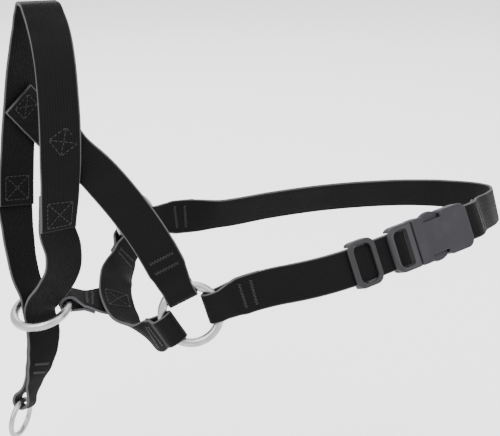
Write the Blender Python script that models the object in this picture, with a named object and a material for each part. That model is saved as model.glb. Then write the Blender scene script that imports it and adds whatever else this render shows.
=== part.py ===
"""Head halter for a large dog: webbing nose loop, slip strap, cheek rings, throat strap and neck band.

The halter stands as it hangs on a head: the nose points to -X, the nape to +X, the dog's left is -Y
and up is +Z.  The origin is the flat under the crown of the nose band, which rests on the muzzle.
Run it with blender --background --python part.py, or from Blender's text editor.
Sizes below are in millimetres, and meshes are made in metres.
"""

import math
from copy import copy

import bpy
from mathutils import Matrix, Vector

MM = 0.001

# ---- driving dimensions (mm) -------------------------------------------------------------------
WEB_WIDTH = 20.0          # nylon webbing, flat
WEB_THICK = 1.5
LAYER_GAP = 0.4           # air between two layers of webbing
LAYER = WEB_THICK + LAYER_GAP
FIT = 0.35                # running clearance between webbing and metal or plastic
FOLD_FIT = 0.5            # the same inside a fold round a ring
SLACK_STEP = 3.0          # spacing of the cross-sections along a strap
TWIST_STEP = 1.2          # the same where a strap twists

RING_BORE = 25.0          # chin ring and both cheek rings
RING_WIRE = 4.6
FOLD_WIDTH = 14.0         # webbing bunches to this width where it turns round a ring
LINK_FOLD_WIDTH = 12.0
SHORT_LAP_END = 16.5
LINK_LAP_END = 16.0
LEASH_BORE = 17.0
LEASH_WIRE = 2.8
LEASH_FOLD_WIDTH = 10.0
SLIP_WIDTH = 17.0         # slip strap inside the chin ring

FLARE = 9.5               # from a ring's wire to where the two layers close up
LAP_END = 27.0            # from a ring's wire to the cut end of the folded layer
NOSE_TUCK = 18.0          # slip strap tucked under each end of the nose band
CROWN_STEP = 2.9          # the crown of the nose band lies level over three of these

THREAD_HIGH = 0.45
THREAD_WIDE = 0.8
STEPS_PER_ZIG = 3

GLIDE_LENGTH = 18.2
GLIDE_BAR = 3.2
GLIDE_BAR_THICK = 1.4
GLIDE_FROM_BUCKLE = 20.5  # middle of the glide, ahead of where the webbing enters the insert
GLIDE_ARC_RADIUS = 85.0   # the webbing ahead of the glide bends in one arc, which the glide follows
GLIDE_ARC_LENGTH = 46.0
GLIDE_ARC_TILT = 15.0     # degrees that the arc leans up, out of the plane of the webbing's bend
GLIDE_ARC_STEPS = 10
TAIL_BEYOND_GLIDE = 43.0  # free tail of the adjuster, past the middle of the glide

MOULDING_WIDTH = 25.4     # tri-glide and buckle, across the webbing
SLOT_WIDTH = WEB_WIDTH + 0.7
INSERT_LENGTH = 17.0
SOCKET_START = 17.4
SOCKET_LENGTH = 38.5
SOCKET_HALF_HIGH = 4.5

X, Y, Z = Vector((1, 0, 0)), Vector((0, 1, 0)), Vector((0, 0, 1))

# ---- materials ---------------------------------------------------------------------------------
BLACK_WEBBING = ("black_webbing", (0.010, 0.010, 0.011), 0.80, 0.0)
BLACK_THREAD = ("black_thread", (0.045, 0.045, 0.048), 0.65, 0.0)
PLATED_STEEL = ("plated_steel", (0.62, 0.62, 0.63), 0.28, 1.0)
GREY_ACETAL = ("grey_acetal", (0.041, 0.040, 0.046), 0.45, 0.0)


def material_of(finish):
    """One Principled material for each finish."""
    name, colour, roughness, metallic = finish
    material = bpy.data.materials.get(name)
    if material is None:
        material = bpy.data.materials.new(name)
        material.use_nodes = True
        shader = material.node_tree.nodes["Principled BSDF"]
        shader.inputs["Base Color"].default_value = (*colour, 1.0)
        shader.inputs["Roughness"].default_value = roughness
        shader.inputs["Metallic"].default_value = metallic
        material.diffuse_color = (*colour, 1.0)
    return material


def add_object(name, vertices, faces, finish, matrix=None):
    """An object from millimetre vertices, placed by a matrix whose location is in millimetres."""
    mesh = bpy.data.meshes.new(name)
    mesh.from_pydata([tuple(Vector(v) * MM) for v in vertices], [], faces)
    mesh.update()
    item = bpy.data.objects.new(name, mesh)
    bpy.context.scene.collection.objects.link(item)
    if finish is not None:
        mesh.materials.append(material_of(finish))
    if matrix is not None:
        placed = matrix.copy()
        placed.translation = matrix.translation * MM
        item.matrix_world = placed
    return item


# ---- webbing -----------------------------------------------------------------------------------
class Section:
    """One place along a strap: centre, width direction, width, and the frame worked out there."""

    def __init__(self, point, across, width=WEB_WIDTH):
        self.point = Vector(point)
        self.across = Vector(across).normalized()
        self.width = width
        self.along = X.copy()
        self.normal = Z.copy()
        self.distance = 0.0
        self.framed = False

    def shifted(self, off):
        """The same place, moved off along the strap's normal."""
        return Section(self.point + self.normal * off, self.across, self.width)

    def folded_back(self, off):
        """The layer that lies off along the normal and runs the other way, its frame kept."""
        back = self.shifted(off)
        back.along = -self.along
        back.normal = -self.normal
        back.framed = True
        return back


def untwist(sections):
    """Turns each section's width direction to agree with the one before it."""
    for before, after in zip(sections, sections[1:]):
        if after.across.dot(before.across) < 0:
            after.across = -after.across
    return sections


def with_frames(sections):
    """Sets distance on each section, and the frame of those that have none; returns the list."""
    for before, after in zip(sections, sections[1:]):
        if after.across.dot(before.across) < 0:
            after.across = -after.across
            after.normal = -after.normal
    last = len(sections) - 1
    travelled = 0.0
    for i, section in enumerate(sections):
        before = sections[max(i - 1, 0)].point
        after = sections[min(i + 1, last)].point
        if not section.framed:
            section.along = (after - before).normalized()
            side = section.across - section.along * section.across.dot(section.along)
            section.across = side.normalized()
            section.normal = section.along.cross(section.across)
            section.framed = True
        if i > 0:
            travelled += (section.point - before).length
        section.distance = travelled
    return sections


def smooth_path(stations, step=SLACK_STEP):
    """Sections at an even step along a smooth curve through the stations."""
    stations = untwist([Section(s.point, s.across, s.width) for s in stations])
    points = [s.point for s in stations]
    spans = [max((b - a).length, 1e-6) for a, b in zip(points, points[1:])]
    last = len(points) - 1
    slopes = []
    for i in range(len(points)):
        if i == 0:
            slopes.append((points[1] - points[0]) / spans[0])
        elif i == last:
            slopes.append((points[-1] - points[-2]) / spans[-1])
        else:
            left = (points[i] - points[i - 1]) / spans[i - 1]
            right = (points[i + 1] - points[i]) / spans[i]
            share = spans[i - 1] / (spans[i - 1] + spans[i])
            slopes.append(left.lerp(right, share))
    sections = []
    for i, span in enumerate(spans):
        count = max(1, math.ceil(span / step))
        for k in range(count + (1 if i == last - 1 else 0)):
            t = k / count
            h00 = 2 * t ** 3 - 3 * t ** 2 + 1
            h10 = t ** 3 - 2 * t ** 2 + t
            h01 = 3 * t ** 2 - 2 * t ** 3
            h11 = t ** 3 - t ** 2
            point = (points[i] * h00 + slopes[i] * span * h10
                     + points[i + 1] * h01 + slopes[i + 1] * span * h11)
            ease = t * t * (3 - 2 * t)
            across = stations[i].across.lerp(stations[i + 1].across, ease)
            width = stations[i].width + (stations[i + 1].width - stations[i].width) * ease
            sections.append(Section(point, across, width))
    return with_frames(sections)


def strap_mesh(sections, thickness=WEB_THICK):
    """Vertices and faces of a rectangular section swept along framed sections."""
    vertices = []
    for s in sections:
        side, lift = s.across * s.width / 2, s.normal * thickness / 2
        vertices += [s.point - side - lift, s.point + side - lift,
                     s.point + side + lift, s.point - side + lift]
    faces = []
    for i in range(len(sections) - 1):
        a = 4 * i
        for k in range(4):
            n = (k + 1) % 4
            faces.append((a + k, a + n, a + 4 + n, a + 4 + k))
    end = 4 * (len(sections) - 1)
    faces += [(3, 2, 1, 0), (end, end + 1, end + 2, end + 3)]
    return vertices, faces


def add_strap(name, sections):
    """A strap's object from framed sections."""
    vertices, faces = strap_mesh(sections)
    return add_object(name, vertices, faces, BLACK_WEBBING)


def add_stitching(name, sections, start, end, zigs, side=1.0, half_span=6.2):
    """A zigzag of thread across a strap, from one distance along it to another, on one face."""
    path = []
    lift = side * (WEB_THICK / 2 + FIT + THREAD_HIGH / 2)
    for i in range(STEPS_PER_ZIG * zigs + 1):
        leg = i / STEPS_PER_ZIG
        at = section_at(sections, start + (end - start) * leg / zigs)
        swing = abs(leg % 2 - 1) * 2 - 1
        reach = half_span * swing * at.width / WEB_WIDTH
        place = Section(at.point + at.normal * lift + at.across * reach, at.normal, THREAD_HIGH)
        path.append(place)
    vertices, faces = strap_mesh(with_frames(path), THREAD_WIDE)
    return add_object(name, vertices, faces, BLACK_THREAD)


def section_at(sections, distance):
    """The section at a distance along a framed path, between its neighbours."""
    distance = min(max(distance, 0.0), sections[-1].distance)
    for a, b in zip(sections, sections[1:]):
        if b.distance >= distance:
            t = (distance - a.distance) / max(b.distance - a.distance, 1e-6)
            place = Section(a.point.lerp(b.point, t), a.across.lerp(b.across, t),
                            a.width + (b.width - a.width) * t)
            place.along = a.along.lerp(b.along, t).normalized()
            place.normal = a.normal.lerp(b.normal, t).normalized()
            place.distance = distance
            return place
    return sections[-1]


def taper(distance, narrow, wide=WEB_WIDTH, start=4.0, length=16.0):
    """The width of webbing that opens out from a ring fold."""
    t = min(max((distance - start) / length, 0.0), 1.0)
    return narrow + (wide - narrow) * t * t * (3 - 2 * t)


# ---- rings -------------------------------------------------------------------------------------
class Ring:
    """A welded round ring: its centre, normal, bore and wire, and the folds made round it."""

    def __init__(self, name, centre, normal, bore=RING_BORE, wire=RING_WIRE):
        self.name = name
        self.centre = Vector(centre)
        self.normal = Vector(normal).normalized()
        self.bore = bore
        self.wire = wire
        self.radius = (bore + wire) / 2
        self.east = (X - self.normal * X.dot(self.normal)).normalized()
        self.north = self.normal.cross(self.east)
        if self.north.z < 0:
            self.north = -self.north

    def radial(self, angle):
        """The outward direction in the ring's plane, by its angle from east towards north."""
        turn = math.radians(angle)
        return self.east * math.cos(turn) + self.north * math.sin(turn)

    def fold(self, angle, run, outer, fold_width=FOLD_WIDTH):
        """A fold round the wire at an angle, for a strap that leaves along run.

        Gives the main layer's first two stations, nearest first, and the arc round the wire from
        the main layer to the folded layer.
        """
        radial = self.radial(angle)
        tangent = self.normal.cross(radial).normalized()
        run = Vector(run)
        away = (run - tangent * run.dot(tangent)).normalized()
        outward = tangent.cross(away)
        if outward.dot(Vector(outer)) < 0:
            outward = -outward
        outermost = self.bore / 2 + self.wire
        innermost = math.sqrt((self.bore / 2) ** 2 - (fold_width / 2) ** 2)
        middle = self.centre + radial * (outermost + innermost) / 2
        turn_radius = (outermost - innermost) / 2 + FOLD_FIT + WEB_THICK / 2
        arc = []
        for step in range(11):
            phi = math.radians(55 + 25 * step)
            place = middle + away * turn_radius * math.cos(phi) + outward * turn_radius * math.sin(phi)
            arc.append(Section(place, tangent, fold_width))
        main = []
        for reach in (FLARE, FLARE + 5.0):
            place = middle + away * reach + outward * LAYER / 2
            main.append(Section(place, tangent, taper(reach, fold_width)))
        return Fold(main, arc, outward)

    def build(self, segments=40, sides=12):
        """The ring's object, with its origin at the centre and its axis along local Z."""
        vertices, faces = [], []
        for i in range(segments):
            around = 2 * math.pi * i / segments
            for k in range(sides):
                turn = 2 * math.pi * k / sides
                reach = self.radius + self.wire / 2 * math.cos(turn)
                vertices.append((reach * math.cos(around), reach * math.sin(around),
                                 self.wire / 2 * math.sin(turn)))
                here, over = i * sides, (i + 1) % segments * sides
                up = (k + 1) % sides
                faces.append((here + k, over + k, over + up, here + up))
        frame = Matrix((self.east, self.normal.cross(self.east), self.normal)).transposed()
        place = Matrix.Translation(self.centre) @ frame.to_4x4()
        item = add_object(self.name, vertices, faces, PLATED_STEEL, place)
        item.data.shade_smooth()
        return item


class Fold:
    """The end of a strap that turns round a ring: main stations, arc, and the outer direction."""

    def __init__(self, main, arc, outward):
        self.main = main
        self.arc = arc
        self.outward = outward


def lap_of(main, fold, length=LAP_END, at_start=True):
    """The folded layer: the main path's own course, one layer further in, out to the cut end."""
    course = main if at_start else list(reversed(main))
    first = course[0]
    side = -LAYER if first.normal.dot(fold.outward) > 0 else LAYER
    reach = length - FLARE
    return [s.folded_back(side) for s in course if abs(s.distance - first.distance) <= reach]


def folded_strap(free, start=None, end=None, step=SLACK_STEP, lap=LAP_END):
    """A strap through free stations whose ends fold round rings.

    Returns the full list of framed sections, and the framed main layer alone.
    """
    stations = list(free)
    if start is not None:
        stations = start.main + stations
    if end is not None:
        stations = stations + list(reversed(end.main))
    main = smooth_path(stations, step)
    full = list(main)
    if start is not None:
        folded = list(reversed(lap_of(main, start, lap)))
        full = folded + list(reversed(start.arc)) + full
    if end is not None:
        full = full + end.arc + lap_of(main, end, lap, at_start=False)
    if start is None and end is None:
        return main, main
    return with_frames([copy(s) for s in full]), main


# ---- moulded pieces ----------------------------------------------------------------------------
def box_mesh(low, high):
    """Vertices and faces of an upright box between two corners."""
    (x0, y0, z0), (x1, y1, z1) = low, high
    vertices = [(x0, y0, z0), (x1, y0, z0), (x1, y1, z0), (x0, y1, z0),
                (x0, y0, z1), (x1, y0, z1), (x1, y1, z1), (x0, y1, z1)]
    faces = [(0, 3, 2, 1), (4, 5, 6, 7), (0, 1, 5, 4), (1, 2, 6, 5), (2, 3, 7, 6), (3, 0, 4, 7)]
    return vertices, faces


def prism_mesh(outline, low, high):
    """Vertices and faces of a counter-clockwise outline in X and Y, raised from low to high."""
    count = len(outline)
    vertices = [(x, y, low) for x, y in outline] + [(x, y, high) for x, y in outline]
    faces = [tuple(reversed(range(count))), tuple(range(count, 2 * count))]
    faces += [(i, (i + 1) % count, (i + 1) % count + count, i + count) for i in range(count)]
    return vertices, faces


def rounded_outline(x0, x1, half, start_radius, end_radius, steps=5):
    """A rectangle from x0 to x1 and half to each side, its corners rounded, counter-clockwise."""
    corners = [(x0, -half, start_radius, 180), (x1, -half, end_radius, 270),
               (x1, half, end_radius, 0), (x0, half, start_radius, 90)]
    outline = []
    for x, y, radius, first in corners:
        inside_x = x + radius if x == x0 else x - radius
        inside_y = y - math.copysign(radius, y)
        for k in range(steps + 1):
            turn = math.radians(first + 90 * k / steps)
            outline.append((inside_x + radius * math.cos(turn), inside_y + radius * math.sin(turn)))
    return outline


def cut(item, name, low, high, matrix, operation="DIFFERENCE"):
    """A Boolean with a hidden box between two corners."""
    vertices, faces = box_mesh(low, high)
    cutter = add_object(name, vertices, faces, None, matrix)
    cutter.hide_render = True
    cutter.display_type = "WIRE"
    modifier = item.modifiers.new(name, "BOOLEAN")
    modifier.operation = operation
    modifier.solver = "EXACT"
    modifier.object = cutter


def frame_at(origin, along, up):
    """A matrix with X along a strap, Y up across it and Z out of its face."""
    x_axis = Vector(along).normalized()
    up = Vector(up)
    y_axis = (up - x_axis * up.dot(x_axis)).normalized()
    z_axis = x_axis.cross(y_axis)
    frame = Matrix((x_axis, y_axis, z_axis)).transposed().to_4x4()
    return Matrix.Translation(Vector(origin)) @ frame


# ---- the frame of the halter -------------------------------------------------------------------
CHIN_RING = Ring("chin_ring", (-7.5, 0, -159), (-0.278, -0.192, 0.942))
LEFT_RING = Ring("left_cheek_ring", (59, -50, -153), (-0.30, -0.93, 0.20))
RIGHT_RING = Ring("right_cheek_ring", (60.5, 50, -134), (-0.548, 0.783, -0.274))

LEASH_FOLD_AT = Vector((-19.5, 1.0, -210.5))
LEASH_FOLD_ACROSS = Vector((0.58, 0.75, -0.31)).normalized()
LEASH_HANG = Vector((-0.32, -0.17, -0.93))

# The buckle's middle plane lies between its two layers of webbing; Z points out, away from the neck.
BUCKLE = frame_at((168.0, -57.4, -132.3), (0.971, 0.202, 0.118), (-0.24, 0.33, 0.91))
ENTRY_X = 3.0             # where the webbing enters the insert
GLIDE_X = ENTRY_X - GLIDE_FROM_BUCKLE
INSERT_BAR_X = 9.0
BAR_TURN = 2.55           # centre line of webbing turning round a moulded bar
SOCKET_BAR_X = 50.2
ARM_HINGE = (18.5, 7.6)   # x and |y| of the root of each release arm


def nose_band():
    """The loop over the muzzle, from its left seam over the crown to its right seam."""
    crown = [Section((0.0, CROWN_STEP * k, WEB_THICK / 2), X) for k in (-1.5, -0.5, 0.5, 1.5)]
    return smooth_path([
        Section((-1.8, -27.0, -107.0), (0.94, 0.30, -0.10)),
        Section((-0.5, -30.0, -86.0), (0.98, 0.12, -0.08)),
        Section((0.4, -31.0, -68.0), (0.98, -0.12, -0.05)),
        Section((1.1, -30.0, -54.0), (0.95, -0.28, 0.00)),
        Section((1.4, -28.0, -38.0), (0.93, -0.36, 0.00)),
        Section((1.5, -24.0, -22.7), (0.93, -0.36, 0.00)),
        Section((1.3, -17.5, -11.5), (0.96, -0.26, 0.00)),
        Section((0.6, -10.2, -3.6), (0.99, -0.08, 0.00)),
    ] + crown + [
        Section((-0.7, 9.2, -4.2), (0.99, 0.10, 0.00)),
        Section((-2.3, 13.5, -14.0), (0.95, 0.28, -0.06)),
        Section((-4.4, 19.0, -27.0), (0.91, 0.40, -0.12)),
        Section((-7.0, 25.5, -50.0), (0.88, 0.43, -0.20)),
        Section((-9.3, 29.0, -76.0), (0.92, 0.32, -0.20)),
        Section((-11.0, 29.3, -94.0), (0.94, 0.25, -0.20)),
        Section((-12.2, 28.0, -109.0), (0.95, 0.23, -0.20)),
    ])


def tucked(nose, at_start):
    """The slip strap's end beside the nose band, from its cut end to the seam.

    It lies one layer inside the band on the left and one layer outside it on the right.
    """
    total = nose[-1].distance
    stations = []
    for reach in (NOSE_TUCK, NOSE_TUCK * 2 / 3, NOSE_TUCK / 3, 1.0):
        at = section_at(nose, reach if at_start else total - reach)
        stations.append(at.shifted(side_to(at, Y) * LAYER))
    return stations


def slip_strap(nose):
    """The strap that runs through the chin ring and folds round the leash ring."""
    left_leg = tucked(nose, True) + [
        Section((1.0, -22.6, -120.0), (0.96, 0.25, -0.07)),
        Section((1.0, -19.0, -131.5), (0.98, 0.14, -0.06), 19.5),
        Section((-3.2, -14.4, -142.5), (0.98, 0.04, -0.12), 18.5),
        Section((-8.2, -7.6, -152.5), (0.98, -0.08, -0.16), SLIP_WIDTH),
    ]
    right_leg = [
        Section((-9.8, 5.2, -153.5), (0.93, 0.32, -0.18), 18.0),
        Section((-12.2, 11.6, -145.8), (0.89, 0.42, -0.22), 19.0),
        Section((-13.0, 18.2, -136.0), (0.88, 0.42, -0.24), 19.5),
        Section((-13.1, 24.0, -123.5), (0.90, 0.34, -0.26)),
    ] + list(reversed(tucked(nose, False)))
    middle = smooth_path([
        Section((-8.6, 0.2, -162.5), (0.98, 0.06, -0.06), SLIP_WIDTH),
        Section((-7.4, 0.0, -172.0), (0.98, 0.14, -0.10), 18.0),
        Section((-8.4, 0.0, -182.0), (0.95, 0.24, -0.18), 17.5),
        Section((-10.6, 0.2, -191.0), (0.89, 0.38, -0.22), 16.0),
        Section((-14.2, 0.6, -200.5), (0.74, 0.58, -0.28), 13.0),
    ], 1.6)
    away = (middle[-1].point - LEASH_FOLD_AT)
    away = (away - LEASH_FOLD_ACROSS * away.dot(LEASH_FOLD_ACROSS)).normalized()
    outward = LEASH_FOLD_ACROSS.cross(away)
    if outward.dot(-Y) < 0:
        outward = -outward
    radius = (LEASH_BORE + LEASH_WIRE) / 2
    swing_reach = radius - math.sqrt((LEASH_BORE / 2) ** 2 - (LEASH_FOLD_WIDTH / 2) ** 2)
    turn_radius = swing_reach + FOLD_FIT + WEB_THICK / 2
    arc = []
    for step in range(11):
        phi = math.radians(55 + 25 * step)
        place = LEASH_FOLD_AT + away * turn_radius * math.cos(phi) + outward * turn_radius * math.sin(phi)
        arc.append(Section(place, LEASH_FOLD_ACROSS, LEASH_FOLD_WIDTH))
    side = 1 if middle[-1].normal.dot(outward) > 0 else -1
    down = [s.shifted(side * LAYER / 2) for s in middle]
    up = [s.shifted(-side * LAYER / 2) for s in reversed(middle)]
    sections = smooth_path(left_leg + down + arc + up + right_leg, 2.5)
    return sections, middle, side


def leash_ring():
    """The leash ring, hanging from the bottom of the slip strap's fold."""
    hang = (LEASH_HANG - LEASH_FOLD_ACROSS * LEASH_HANG.dot(LEASH_FOLD_ACROSS)).normalized()
    centre = LEASH_FOLD_AT + hang * (LEASH_BORE + LEASH_WIRE) / 2
    return Ring("leash_ring", centre, LEASH_FOLD_ACROSS.cross(hang), LEASH_BORE, LEASH_WIRE)


def cheek_on_nose(nose, distance, lean_along, lean_across, reaches, inward_gap):
    """Stations of a cheek strap where it lies on the nose band's inner face, cut end first."""
    stations = []
    for reach in reaches:
        at = section_at(nose, distance + lean_along * reach)
        side = 1 if at.normal.y * -at.point.y > 0 else -1
        place = at.point + at.across * lean_across * reach + at.normal * side * inward_gap
        down = at.along * math.copysign(1, lean_along)
        across = at.across * abs(lean_along) - down * lean_across
        stations.append(Section(place, across))
    return stations


def left_cheek_strap(nose):
    """From the inner face of the nose band down to the top of the left cheek ring."""
    seam = cheek_on_nose(nose, 48.0, -0.80, 0.60, (-4, 0, 4, 8), LAYER + 0.5)
    free = seam + [
        Section((15.2, -29.4, -75.6), (0.78, -0.30, 0.56)),
        Section((23.5, -35.2, -86.0), (0.80, -0.16, 0.58)),
        Section((32.8, -39.8, -99.5), (0.82, -0.16, 0.55)),
        Section((40.6, -43.4, -112.8), (0.84, -0.18, 0.52)),
    ]
    fold = LEFT_RING.fold(112, (-0.42, 0.13, 0.90), LEFT_RING.normal)
    return folded_strap(free, end=fold)


def right_cheek_strap(nose):
    """From the inner face of the nose band down to the top of the right cheek ring."""
    total = nose[-1].distance
    seam = cheek_on_nose(nose, total - 57.0, 0.72, 0.69, (-4, 0, 4, 8), LAYER + 0.5)
    free = seam + [
        Section((9.5, 31.4, -72.0), (0.72, 0.16, 0.66)),
        Section((22.0, 37.0, -85.0), (0.72, 0.24, 0.62)),
        Section((34.5, 43.0, -98.0), (0.75, 0.40, 0.48)),
    ]
    fold = RIGHT_RING.fold(138, (-0.62, -0.30, 0.72), RIGHT_RING.normal)
    return folded_strap(free, end=fold, step=TWIST_STEP)


def throat_strap():
    """Under the throat, from the right cheek ring to the left one."""
    start = RIGHT_RING.fold(-132, (-0.50, -0.72, -0.48), RIGHT_RING.normal)
    end = LEFT_RING.fold(-150, (-0.38, 0.86, -0.40), LEFT_RING.normal)
    free = [
        Section((36.6, 12.0, -153.8), (0.89, 0.24, -0.36)),
        Section((33.2, -1.0, -158.5), (0.93, 0.26, -0.26)),
        Section((33.4, -12.0, -163.4), (0.91, 0.27, -0.31)),
        Section((37.6, -24.6, -169.6), (0.74, 0.06, -0.66), 19.0),
    ]
    return folded_strap(free, start, end, step=TWIST_STEP, lap=SHORT_LAP_END)


def chin_link_strap(throat_main):
    """From the back of the chin ring to the underside of the throat strap."""
    total = throat_main[-1].distance
    at = section_at(throat_main, total * 0.50)
    below = at.normal if at.normal.z < 0 else -at.normal
    forward = at.across if at.across.x > 0 else -at.across
    seat = at.point + below * (LAYER + 0.15)
    seam = [Section(seat + forward * reach, at.along) for reach in (-7.0, -2.0, 4.0, 9.0)]
    fold = CHIN_RING.fold(0, (1.0, 0.0, -0.26), Z, LINK_FOLD_WIDTH)
    fold.main = fold.main[:1]
    return folded_strap(seam, start=fold, lap=LINK_LAP_END), at


def glide_arc():
    """The centre and the axis of the arc that the glide follows, turning towards the ring."""
    axes = BUCKLE.to_3x3()
    along, up, out = axes.col[0], axes.col[1], axes.col[2]
    tilt = math.radians(GLIDE_ARC_TILT)
    bend = up * math.sin(tilt) - out * math.cos(tilt)
    centre = BUCKLE.translation + along * GLIDE_X + bend * GLIDE_ARC_RADIUS
    return centre, bend.cross(along)


def left_neck_strap():
    """From the left cheek ring through the tri-glide, round the buckle's bar and back."""
    axes = BUCKLE.to_3x3()
    along, up, out = axes.col[0], axes.col[1], axes.col[2]
    origin = BUCKLE.translation

    def place(x, z):
        return Section(origin + along * x + out * z, up)

    fold = LEFT_RING.fold(14, (0.99, -0.10, 0.12), LEFT_RING.normal)
    centre, hinge = glide_arc()
    at_glide = place(GLIDE_X, LAYER / 2)
    arc = []
    for k in range(GLIDE_ARC_STEPS, 0, -1):
        turn = Matrix.Rotation(GLIDE_ARC_LENGTH / GLIDE_ARC_RADIUS * k / GLIDE_ARC_STEPS, 3, hinge)
        arc.append(Section(centre + turn @ (at_glide.point - centre), turn @ up))
    stations = fold.main + arc + [at_glide, place(-9.0, LAYER / 2), place(ENTRY_X, LAYER / 2)]
    main = smooth_path(stations, 2.0)
    outward = side_to(main[-1], out)
    turn = []
    for step in range(11):
        phi = math.radians(125 - 25 * step)
        turn.append(place(INSERT_BAR_X + BAR_TURN * math.cos(phi), BAR_TURN * math.sin(phi)))
    tail_from = main[-1].distance - GLIDE_FROM_BUCKLE - TAIL_BEYOND_GLIDE
    back = [s.folded_back(-outward * LAYER) for s in reversed(main) if s.distance > tail_from]
    lap = list(reversed(lap_of(main, fold)))
    full = lap + list(reversed(fold.arc)) + main + turn + back
    sections = with_frames([copy(s) for s in full])
    return sections, main, frame_at(origin + along * GLIDE_X, along, up)


def right_neck_strap():
    """From the right cheek ring round the nape to the bar inside the buckle's socket."""
    axes = BUCKLE.to_3x3()
    along, up, out = axes.col[0], axes.col[1], axes.col[2]
    origin = BUCKLE.translation

    def place(x, z):
        return Section(origin + along * x + out * z, up)

    fold = RIGHT_RING.fold(0, (1.0, 0.02, -0.02), -RIGHT_RING.normal)
    free = [
        Section((116.0, 54.6, -137.0), (-0.13, -0.28, 0.95)),
        Section((148.0, 56.2, -135.8), (-0.12, -0.31, 0.94)),
        Section((182.0, 55.8, -135.0), (-0.12, -0.31, 0.94)),
        Section((214.0, 52.4, -135.0), (-0.13, -0.30, 0.94)),
        Section((240.0, 45.4, -135.0), (-0.15, -0.28, 0.95)),
        Section((259.0, 34.6, -134.8), (-0.18, -0.20, 0.96)),
        Section((270.0, 19.5, -133.6), (-0.20, -0.10, 0.97)),
        Section((271.5, 3.0, -131.4), (-0.22, 0.00, 0.97)),
        Section((264.5, -12.5, -129.0), (-0.24, 0.10, 0.96)),
        Section((253.0, -25.0, -127.0), (-0.25, 0.20, 0.94)),
        Section((240.5, -34.6, -125.6), (-0.26, 0.28, 0.93)),
        place(SOCKET_BAR_X + 13.0, LAYER / 2), place(SOCKET_BAR_X + 7.0, LAYER / 2),
    ]
    main = smooth_path(fold.main + free)
    outward = side_to(main[-1], out)
    turn = []
    for step in range(11):
        phi = math.radians(55 + 25 * step)
        turn.append(place(SOCKET_BAR_X + BAR_TURN * math.cos(phi), BAR_TURN * math.sin(phi)))
    total = main[-1].distance
    back = [s.folded_back(-outward * LAYER) for s in reversed(main) if total - s.distance < 19.0]
    lap = list(reversed(lap_of(main, fold)))
    full = lap + list(reversed(fold.arc)) + main + turn + back
    sections = with_frames([copy(s) for s in full])
    return sections, main


def tri_glide(place):
    """The adjuster: end bars over the webbing, a middle bar under it, and two side rails."""
    half = GLIDE_LENGTH / 2
    slot = SLOT_WIDTH / 2
    face = LAYER / 2 + WEB_THICK / 2 + FIT
    top = face + GLIDE_BAR_THICK
    outline = rounded_outline(-half, half, MOULDING_WIDTH / 2, 4.0, 4.0)
    item = add_object("tri_glide", *prism_mesh(outline, -top, top), GREY_ACETAL, place)
    far = half + 2
    beyond = top + 2
    inner = half - GLIDE_BAR
    cut(item, "glide_slot_front", (-inner, -slot, -beyond), (-1.5, slot, beyond), place)
    cut(item, "glide_slot_rear", (1.5, -slot, -beyond), (inner, slot, beyond), place)
    cut(item, "glide_over_middle_bar", (-2, -slot, -face), (2, slot, beyond), place)
    cut(item, "glide_under_front_bar", (-far, -slot, -beyond), (-inner + 1, slot, face), place)
    cut(item, "glide_under_rear_bar", (inner - 1, -slot, -beyond), (far, slot, face), place)
    return item


def buckle_insert():
    """The insert half: an end bar, the webbing bar, a shoulder and a guide tongue."""
    slot = SLOT_WIDTH / 2
    body = prism_mesh(rounded_outline(0, INSERT_LENGTH, MOULDING_WIDTH / 2, 4.5, 1.0), -3.4, 4.1)
    item = add_object("buckle_insert", *body, GREY_ACETAL, BUCKLE)
    cut(item, "insert_window", (3.2, -slot, -8), (7.8, slot, 8), BUCKLE)
    cut(item, "insert_behind_bar", (10.2, -slot, -8), (13.0, slot, 8), BUCKLE)
    cut(item, "insert_over_bar", (7, -slot, 0.9), (11, slot, 8), BUCKLE)
    cut(item, "insert_below_bar", (7, -slot, -8), (11, slot, -0.9), BUCKLE)
    cut(item, "insert_under_end_bar", (-2, -slot, -8), (4, slot, 2.0), BUCKLE)
    cut(item, "insert_tongue", (INSERT_LENGTH - 1, -3.4, -1.7), (35.5, 3.4, 1.7), BUCKLE, "UNION")
    return item


def buckle_socket():
    """The socket half: a flat case with a mouth, two side openings and a webbing pocket."""
    end = SOCKET_START + SOCKET_LENGTH
    case = prism_mesh(rounded_outline(SOCKET_START, end, MOULDING_WIDTH / 2, 1.0, 5.0),
                      -SOCKET_HALF_HIGH, SOCKET_HALF_HIGH)
    item = add_object("buckle_socket", *case, GREY_ACETAL, BUCKLE)
    pocket = SLOT_WIDTH / 2
    cut(item, "socket_cavity", (SOCKET_START - 2, -11.0, -2.4), (42.2, 11.0, 2.4), BUCKLE)
    cut(item, "socket_opening_upper", (25.2, 9.0, -9), (37.4, 20, 9), BUCKLE)
    cut(item, "socket_opening_lower", (25.2, -20, -9), (37.4, -9.0, 9), BUCKLE)
    cut(item, "socket_pocket", (45.0, -pocket, -3.6), (end + 3, pocket, 3.6), BUCKLE)
    cut(item, "socket_bar", (SOCKET_BAR_X - 1.2, -pocket - 1, -0.9),
        (SOCKET_BAR_X + 1.2, pocket + 1, 0.9), BUCKLE, "UNION")
    return item


def release_arm(name, side):
    """A spring arm, rooted in the insert's shoulder, with a pad in the socket's side opening."""
    root_x, root_y = ARM_HINGE
    pad = [(25.7 + 11.2 * k / 8, 12.2 + 1.6 * math.sin(math.pi * k / 8)) for k in range(9)]
    outer = [(17.35, 8.8), (24.9, 9.9), (25.7, 10.6)] + pad + [(37.6, 9.6), (38.4, 8.2)]
    inner = [(38.4, 6.4), (36.6, 5.4), (33.0, 7.4), (27.0, 7.6), (17.35, 6.3)]
    outline = [(x - root_x, side * (y - root_y)) for x, y in outer + inner]
    if side > 0:
        outline.reverse()
    place = BUCKLE @ Matrix.Translation((root_x, side * root_y, 0))
    return add_object(name, *prism_mesh(outline, -1.8, 1.8), GREY_ACETAL, place)


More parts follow.
